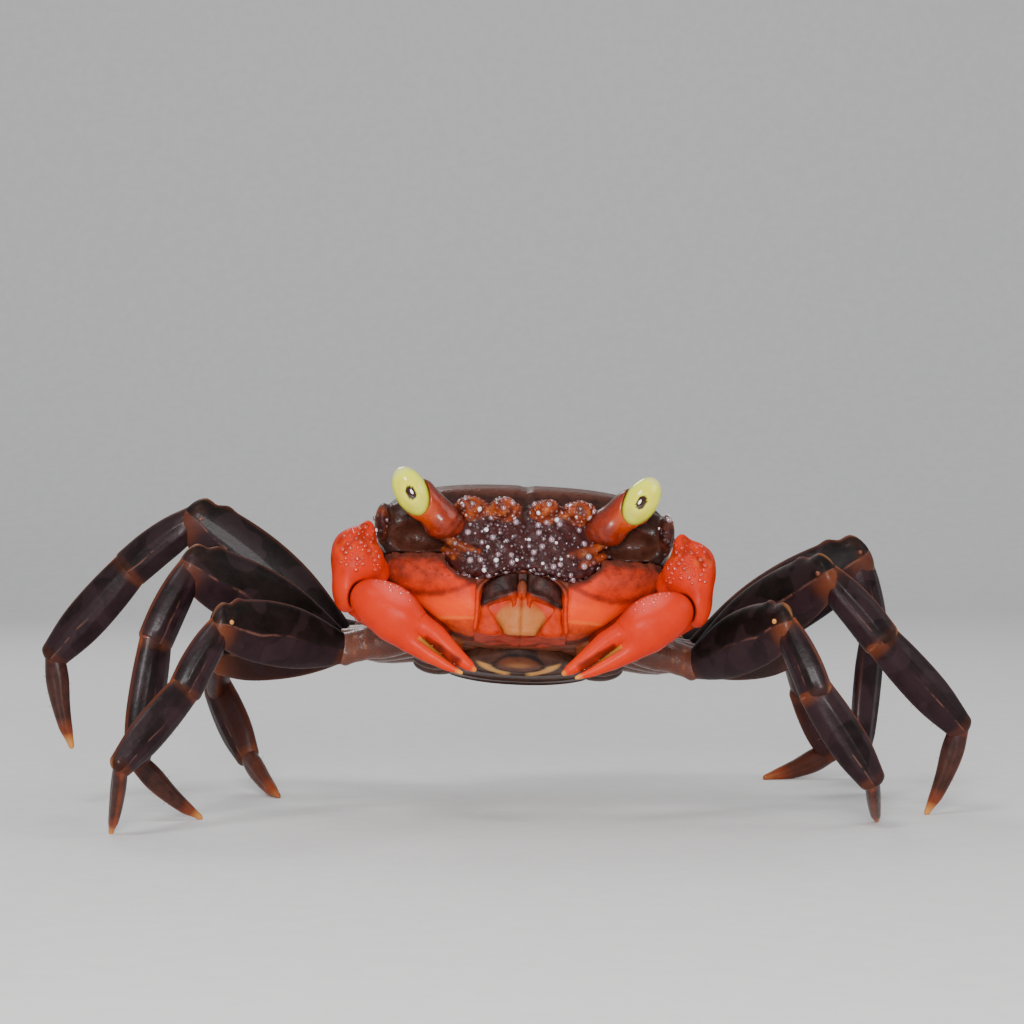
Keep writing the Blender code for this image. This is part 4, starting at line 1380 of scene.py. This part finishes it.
def make_leg(side, number):
    """The shells, bristles and joints of one walking leg."""
    girth = LEG_GIRTH[number]
    chain = leg_chain(side, number)
    for title, place, reach in chain:
        name = f"leg_{side}_{number}_{title}"
        finish = {"base": "joint", "dactylus": "toe"}.get(title, "leg")
        bristly = title in ("propodus", "dactylus")
        lens = 1.05 if title == "base" else 1.3
        plump = LAST_LEG_PLUMP if number == 5 and bristly else 1.0
        points, along, tall = limb_grid(reach, LIMB_PROFILES[title], girth * plump, lens)
        points = shape_segment(title, points, along, tall)
        flat, faces, along, tall = close_grid(points, along, tall)
        world = placed(flat, place)
        world[:, 2] = np.maximum(world[:, 2], 0)
        masks = segment_masks(title, along, tall) | {"along": along, "tall": tall}
        if number == 5:  # the hindmost legs are warmer and have no pale tips in the photo
            # The added warm is painted light: it lightens the hindmost legs, which sit in shade
            # behind the others.
            masks["warm"] = masks["warm"] + 0.2
            masks["pale"] = 0.3 * masks["pale"]
        if bristly:
            masks["grain"] = masks["grain"] * ramp(world[:, 2], BRISTLE_CLEARANCE, 1.0)
        segment = add_piece(f"{name}_shell", world, faces, finish, masks, node=name)
        if bristly:
            scatter(f"{name}_bristles", segment, "bristles", 0.34 * MM,
                    sizes().bristle * 0.3, sizes().bristle * 0.8, "bristle",
                    lean=0.35, seed=number * 7 + len(title))
    make_joints(f"leg_{side}_{number}", chain, girth)


def make_joints(name, chain, girth):
    """Joint skin between segments, with a hard bead on each side where the carpus hinges."""
    for title, place, _ in chain[1:]:
        height, thick = LIMB_PROFILES[title][0][1:3]
        radii = (0.5 * girth, thick * girth * 0.98, height * girth * 0.97)
        points, faces, ways = ball(radii, 20, 28)
        masks = {
            "warm": 0.8,
            "dark": 0.4 * np.maximum(0, np.sin(ways[:, 0] * 9)),
            "pale": 0.3 * ramp(abs(ways[:, 1]), 0.8, 1.0),
        }
        add_piece(f"{name}_{title}_joint", placed(points, place), faces, "joint", masks)
        if title != "carpus":
            continue
        masks = {"warm": 0.6, "pale": 0.9 if name.endswith("2") else 0.1}
        for way, face in ((-1, "front"), (1, "back")):
            points, faces, ways = ball(HINGE_RADII, 10, 14)
            shift = Matrix.Translation((-0.3, way * (thick * girth + 0.1), -height * girth * 0.5))
            add_piece(f"{name}_{title}_hinge_{face}", placed(points, place @ shift), faces,
                      "joint", masks)


def make_legs():
    for side in SIDE_SIGN:
        for number in LEG_LENGTHS:
            make_leg(side, number)


# ---------------------------------------------------------------- claws
# The left hand's frame: X from the palm's base to the claw's tip.
HAND = frame_along(Vector(PALM_BASE), Vector(CLAW_TIP) - Vector(PALM_BASE))
FINGER_SEAM = 4.5  # where the movable finger starts
# Rods of the fingers in the hand's frame: x, y, z and radius.
UPPER_FINGER = ((3.9, 0, 0.42, 0.7), (4.6, 0, 0.42, 0.66), (5.7, 0, 0.38, 0.62),
                (7.2, 0.02, 0.08, 0.5), (8.2, 0.04, 0.02, 0.32), (8.6, 0.05, 0.0, 0.16))
LOWER_FINGER = ((3.4, 0, -0.5, 0.86), (4.6, 0, -0.68, 0.68), (5.9, 0.02, -0.72, 0.48),
                (7.2, 0.04, -0.68, 0.28), (8.1, 0.05, -0.55, 0.12))
# Tubercles of a claw: spacing, smallest and largest radius.
TUBERCLES = {
    "palm": (0.22, 0.05, 0.13), "finger": (0.2, 0.05, 0.1), "wrist": (0.28, 0.07, 0.17),
    "arm": (0.3, 0.06, 0.12),
}
# Blobs: place, radii and, after the first, how softly it joins those before it.
HAND_BLOBS = (
    ((2.75, 0, 0.1), (2.15, 1.25, 1.5)),
    ((1.6, 0, 0.0), (1.3, 1.1, 1.1), 0.5),
    ((3.7, 0, 0.3), (1.0, 0.95, 0.7), 0.5),
)
WRIST_BLOBS = (  # in the body frame, behind the base of the palm
    ((9.6, -9.3, -0.3), (1.35, 1.25, 1.45)),
    ((8.95, -9.3, -0.9), (1.05, 1.15, 1.1), 0.4),
    ((8.15, -8.85, -1.3), (0.55, 0.55, 0.75), 0.3),
    ((9.95, -9.4, -2.2), (0.85, 1.2, 1.6), 0.9),
    ((8.95, -9.5, 0.95), (0.42, 0.4, 0.6), 0.5),
)


def hand_field(p):
    """The swollen part of the palm: X to the tips, Y forward, Z to the movable finger."""
    return blobs(p, *HAND_BLOBS)


def palm_field(p):
    """The palm with the lower finger and the knuckle that carries the upper one."""
    knuckle = soft_max(rods(p, UPPER_FINGER), p[0] - FINGER_SEAM, 0.05)
    field = soft_min(hand_field(p), rods(p, LOWER_FINGER), 0.5)
    return soft_min(field, knuckle, 0.3)


def finger_field(p):
    """The movable finger, with a slit between it and the lower one."""
    upper = soft_min(rods(p, UPPER_FINGER), hand_field(p), 0.3)
    return carve(upper, (FINGER_SEAM + 0.04 - p[0], 0.05), (SEAM - rods(p, LOWER_FINGER), 0.05))


def wrist_field(p):
    """The crescent-shaped wrist, hollowed where the palm turns in it."""
    palm = palm_field(seen_from(p, HAND.inverted()))
    field = blobs(p, *WRIST_BLOBS)
    field = field - 0.03 * lumps(p, 0.7) * ramp(p[2], -2.2, -1.0)
    return soft_max(field, 0.07 - palm, 0.1)


def palm_masks(p):
    x, y, z = p
    # A painted sheen where the tubercles stand on the upper palm.
    patch = bell(x - 2.4, 1.2) * bell(z - 1.1, 0.55) * ramp(y, 0.1, 0.6)
    cutting = ramp(x, 4.9, 5.2) * ramp(z, -0.55, -0.25) * fall(x, 7.3, 7.6)
    # Painted shade in the slit between the fingers.
    slit = ramp(x, 5.0, 5.3) * fall(x, 7.6, 8.0)
    return {
        "warm": 0.6 * ramp(x, 4.5, 7.0),
        "cool": patch * 0.8,
        "dark": 0.9 * slit * ramp(z, -0.5, -0.36),
        "pale": 0.8 * ramp(x, 7.6, 8.2) + 0.4 * cutting,
        "grain": 1.2 * patch * (patch > 0.3) + cutting * fall(abs(y), 0.05, 0.2),
    }


def finger_masks(p):
    x, y, z = p
    # Along the slit the edge is painted dark as shade; the same band carries the teeth.
    cutting = ramp(x, 5.2, 5.5) * fall(z, -0.05, 0.2) * fall(x, 7.6, 8.0)
    return {
        "warm": 0.5 * ramp(x, 5.0, 7.5),
        "dark": np.maximum(0.5 * fall(x, 4.2, 4.6), 0.8 * cutting),
        "pale": ramp(x, 8.3, 8.8) * 0.5,
        "grain": cutting * fall(abs(y), 0.05, 0.25),
    }


def wrist_masks(p):
    x, y, z = p
    front = fall(y, -10.1, -9.6)
    # Painted shade along the seam where the wrist meets the palm.
    seam = fall(palm_field(seen_from(p, HAND.inverted())), 0.08, 0.22)
    mottled = ramp(lumps(p, 0.5), -0.1, 0.5) * ramp(z, -1.6, 0.5)
    return {
        "warm": 0.3 * fall(z, -3.5, -1.5),
        "dark": np.maximum(0.16 + 0.3 * mottled, seam),
        "pale": 0.15 * fall(lumps(p, 0.4), -0.6, 0.0) * ramp(z, -1.8, -0.8) * (1 - seam),
        "grain": ramp(z, -2.0, -1.2) * front * fall(x, 10.2, 10.7),
    }


# Field, masks and sampled box of a claw's parts; the wrist is laid out in the body frame.
CLAW_PARTS = {
    "palm": (palm_field, palm_masks, (-1.7, -1.6, -2.2), (9.0, 1.6, 2.0)),
    "finger": (finger_field, finger_masks, (3.4, -1.2, -0.9), (9.0, 1.2, 1.8)),
    "wrist": (wrist_field, wrist_masks, (7.6, -11.0, -4.8), (11.4, -7.7, 2.1)),
}


def make_claws():
    step = sizes().fine_step / MM
    shapes = {}
    for title, (field, painted, low, high) in CLAW_PARTS.items():
        points, faces = skin_of(field, low, high, step)
        masks = painted(points.T)
        shapes[title] = points if title == "wrist" else placed(points, HAND), faces, masks
    for side in SIDE_SIGN:
        for title, (points, faces, masks) in shapes.items():
            local, sided = for_side(side, points, faces)
            name = f"claw_{side}_{title}"
            shell = add_piece(f"{name}_shell", placed(local, BODY), sided, "claw", masks, node=name)
            add_tubercles(name, shell, TUBERCLES[title], 31 + len(title))
        make_arm(side)


def add_tubercles(name, shell, measures, seed):
    spacing, least, most = (value * MM for value in measures)
    scatter(f"{name}_tubercles", shell, "beads", spacing, least, most, "tubercles",
            seed=seed)


def make_arm(side):
    """The arm under the cheek, from the body to the wrist."""
    shoulder, elbow = on_side(SHOULDER, side), on_side(ELBOW, side)
    line = elbow - shoulder
    grid = limb_grid(line.length, LIMB_PROFILES["arm"], lens=1.1)
    flat, faces, along, tall = close_grid(*grid)
    masks = {
        "dark": 0.9 * fall(along, 0.3, 0.8),
        "grain": 0.5 * ramp(abs(tall), 0.8, 0.97) * ramp(along, 0.4, 0.8),
    }
    place = BODY @ frame_along(shoulder, line)
    name = f"claw_{side}_arm"
    arm = add_piece(f"{name}_shell", placed(flat, place), faces, "claw", masks, node=name)
    add_tubercles(name, arm, TUBERCLES["arm"], 51)


# ---------------------------------------------------------------- stage
LENS_LENGTH = 87.0
CAMERA_AT = (BODY_AT[0] - 0.55, BODY_AT[1] - 150, 18.38)
CAMERA_DROP = 0.174  # degrees below level
CAMERA_ROLL = -0.009  # radians
LIGHTS = (  # name, place, size and power
    ("key", (-70, -150, 210), 70, 0.17),
    ("flash", (-4, -185, 50), 46, 0.26),
    ("fill", (190, -60, 130), 120, 0.08),
    ("rim", (-60, 160, 170), 90, 0.1),
)


def make_floor():
    """A pale floor that sweeps up into a backdrop."""
    front, back, bend, wall, half_width, steps = -400.0, 260.0, 120.0, 420.0, 600.0, 16
    turns = [math.pi / 2 * i / steps for i in range(1, steps + 1)]
    sweep = [(back + bend * math.sin(a), bend * (1 - math.cos(a))) for a in turns]
    line = [(front, 0.0), (back, 0.0), *sweep, (back + bend, wall)]
    points = [(x, y, z) for y, z in line for x in (-half_width, half_width)]
    faces = [(k, k + 1, k + 3, k + 2) for k in range(0, len(points) - 2, 2)]
    mesh = new_mesh("studio_floor", points, faces)
    paper = bpy.data.materials.new("studio paper")
    paper.use_nodes = True
    tree = paper.node_tree
    shader = tree.nodes["Principled BSDF"]
    tint = tuple(colours().floor)
    fibre = stretched(tree, noise_value(tree, 0.6), 0.3, 0.7)
    tone = mix_colours(tree, fibre, tint, tuple(value * 0.96 for value in tint))
    tree.links.new(tone, shader.inputs["Base Color"])
    shader.inputs["Roughness"].default_value = 0.85
    mesh.materials.append(paper)
    new_object("studio_floor", mesh)


def add_light(name, at, size, power):
    """A round lamp that shines at the middle of the crab."""
    lamp = bpy.data.lights.new(name, "AREA")
    lamp.shape = "DISK"
    lamp.size = size * MM
    lamp.energy = power
    thing = new_object(name, lamp)
    aim = Vector((0, 0, 12)) - Vector(at)
    turn = aim.to_track_quat("-Z", "Y").to_matrix().to_4x4()
    thing.matrix_world = Matrix.Translation(Vector(at) * MM) @ turn


def make_stage():
    make_floor()
    for lamp in LIGHTS:
        add_light(*lamp)
    scene = bpy.context.scene
    world = scene.world = scene.world or bpy.data.worlds.new("studio")
    world.use_nodes = True
    sky = world.node_tree.nodes["Background"]
    sky.inputs["Color"].default_value = (*srgb(236, 238, 242), 1)
    sky.inputs["Strength"].default_value = 0.55
    lens = bpy.data.cameras.new("front view")
    lens.sensor_width = 36
    lens.lens = LENS_LENGTH
    lens.clip_start = 0.001
    camera = scene.camera = new_object("front view", lens)
    level = Matrix.Rotation(math.radians(90 - CAMERA_DROP), 4, "X")
    roll = Matrix.Rotation(CAMERA_ROLL, 4, "Z")
    camera.matrix_world = Matrix.Translation(Vector(CAMERA_AT) * MM) @ level @ roll


# ---------------------------------------------------------------- operators
class CRAB_OT_carapace(bpy.types.Operator):
    """Build the carapace with its granular front and orbits"""

    bl_idname = "crab.carapace"
    bl_label = "Carapace"

    def execute(self, context):
        make_carapace()
        return {"FINISHED"}


class CRAB_OT_underside(bpy.types.Operator):
    """Build the cheeks, the sternum and the folded abdomen"""

    bl_idname = "crab.underside"
    bl_label = "Cheeks and underside"

    def execute(self, context):
        make_cheeks()
        make_sternum()
        make_abdomen()
        return {"FINISHED"}


class CRAB_OT_mouth(bpy.types.Operator):
    """Build the mouth frame and the third maxillipeds"""

    bl_idname = "crab.mouth"
    bl_label = "Mouth"

    def execute(self, context):
        make_mouth()
        return {"FINISHED"}


class CRAB_OT_eyes(bpy.types.Operator):
    """Build the eyes on their stalks"""

    bl_idname = "crab.eyes"
    bl_label = "Eyes"

    def execute(self, context):
        make_eyes()
        return {"FINISHED"}


class CRAB_OT_claws(bpy.types.Operator):
    """Build both claws with their tubercles"""

    bl_idname = "crab.claws"
    bl_label = "Claws"

    def execute(self, context):
        make_claws()
        return {"FINISHED"}


class CRAB_OT_legs(bpy.types.Operator):
    """Build the eight walking legs with joint skin and bristles"""

    bl_idname = "crab.legs"
    bl_label = "Walking legs"

    def execute(self, context):
        make_legs()
        return {"FINISHED"}


class CRAB_OT_stage(bpy.types.Operator):
    """Set the floor, the lights and the camera"""

    bl_idname = "crab.stage"
    bl_label = "Stage"

    def execute(self, context):
        make_stage()
        return {"FINISHED"}


OPERATORS = (
    CRAB_OT_carapace,
    CRAB_OT_underside,
    CRAB_OT_mouth,
    CRAB_OT_eyes,
    CRAB_OT_claws,
    CRAB_OT_legs,
    CRAB_OT_stage,
)


class CRAB_PT_panel(bpy.types.Panel):
    """Sidebar panel of the crab"""

    bl_idname = "CRAB_PT_panel"
    bl_label = "Land crab"
    bl_space_type = "VIEW_3D"
    bl_region_type = "UI"
    bl_category = "Crab"

    def draw(self, context):
        for operator in OPERATORS:
            self.layout.operator(operator.bl_idname)
        for group in (context.scene.crab_colours, context.scene.crab_sizes):
            for key in group.__annotations__:
                self.layout.prop(group, key)


CLASSES = (CrabColours, CrabSizes, *OPERATORS, CRAB_PT_panel)


def register():
    for kind in CLASSES:
        bpy.utils.register_class(kind)
    bpy.types.Scene.crab_colours = bpy.props.PointerProperty(type=CrabColours)
    bpy.types.Scene.crab_sizes = bpy.props.PointerProperty(type=CrabSizes)


def unregister():
    del bpy.types.Scene.crab_colours
    del bpy.types.Scene.crab_sizes
    for kind in reversed(CLASSES):
        bpy.utils.unregister_class(kind)


def main():
    register()
    for operator in OPERATORS:
        getattr(bpy.ops.crab, operator.bl_idname.split(".")[1])()


if __name__ == "__main__":
    main()
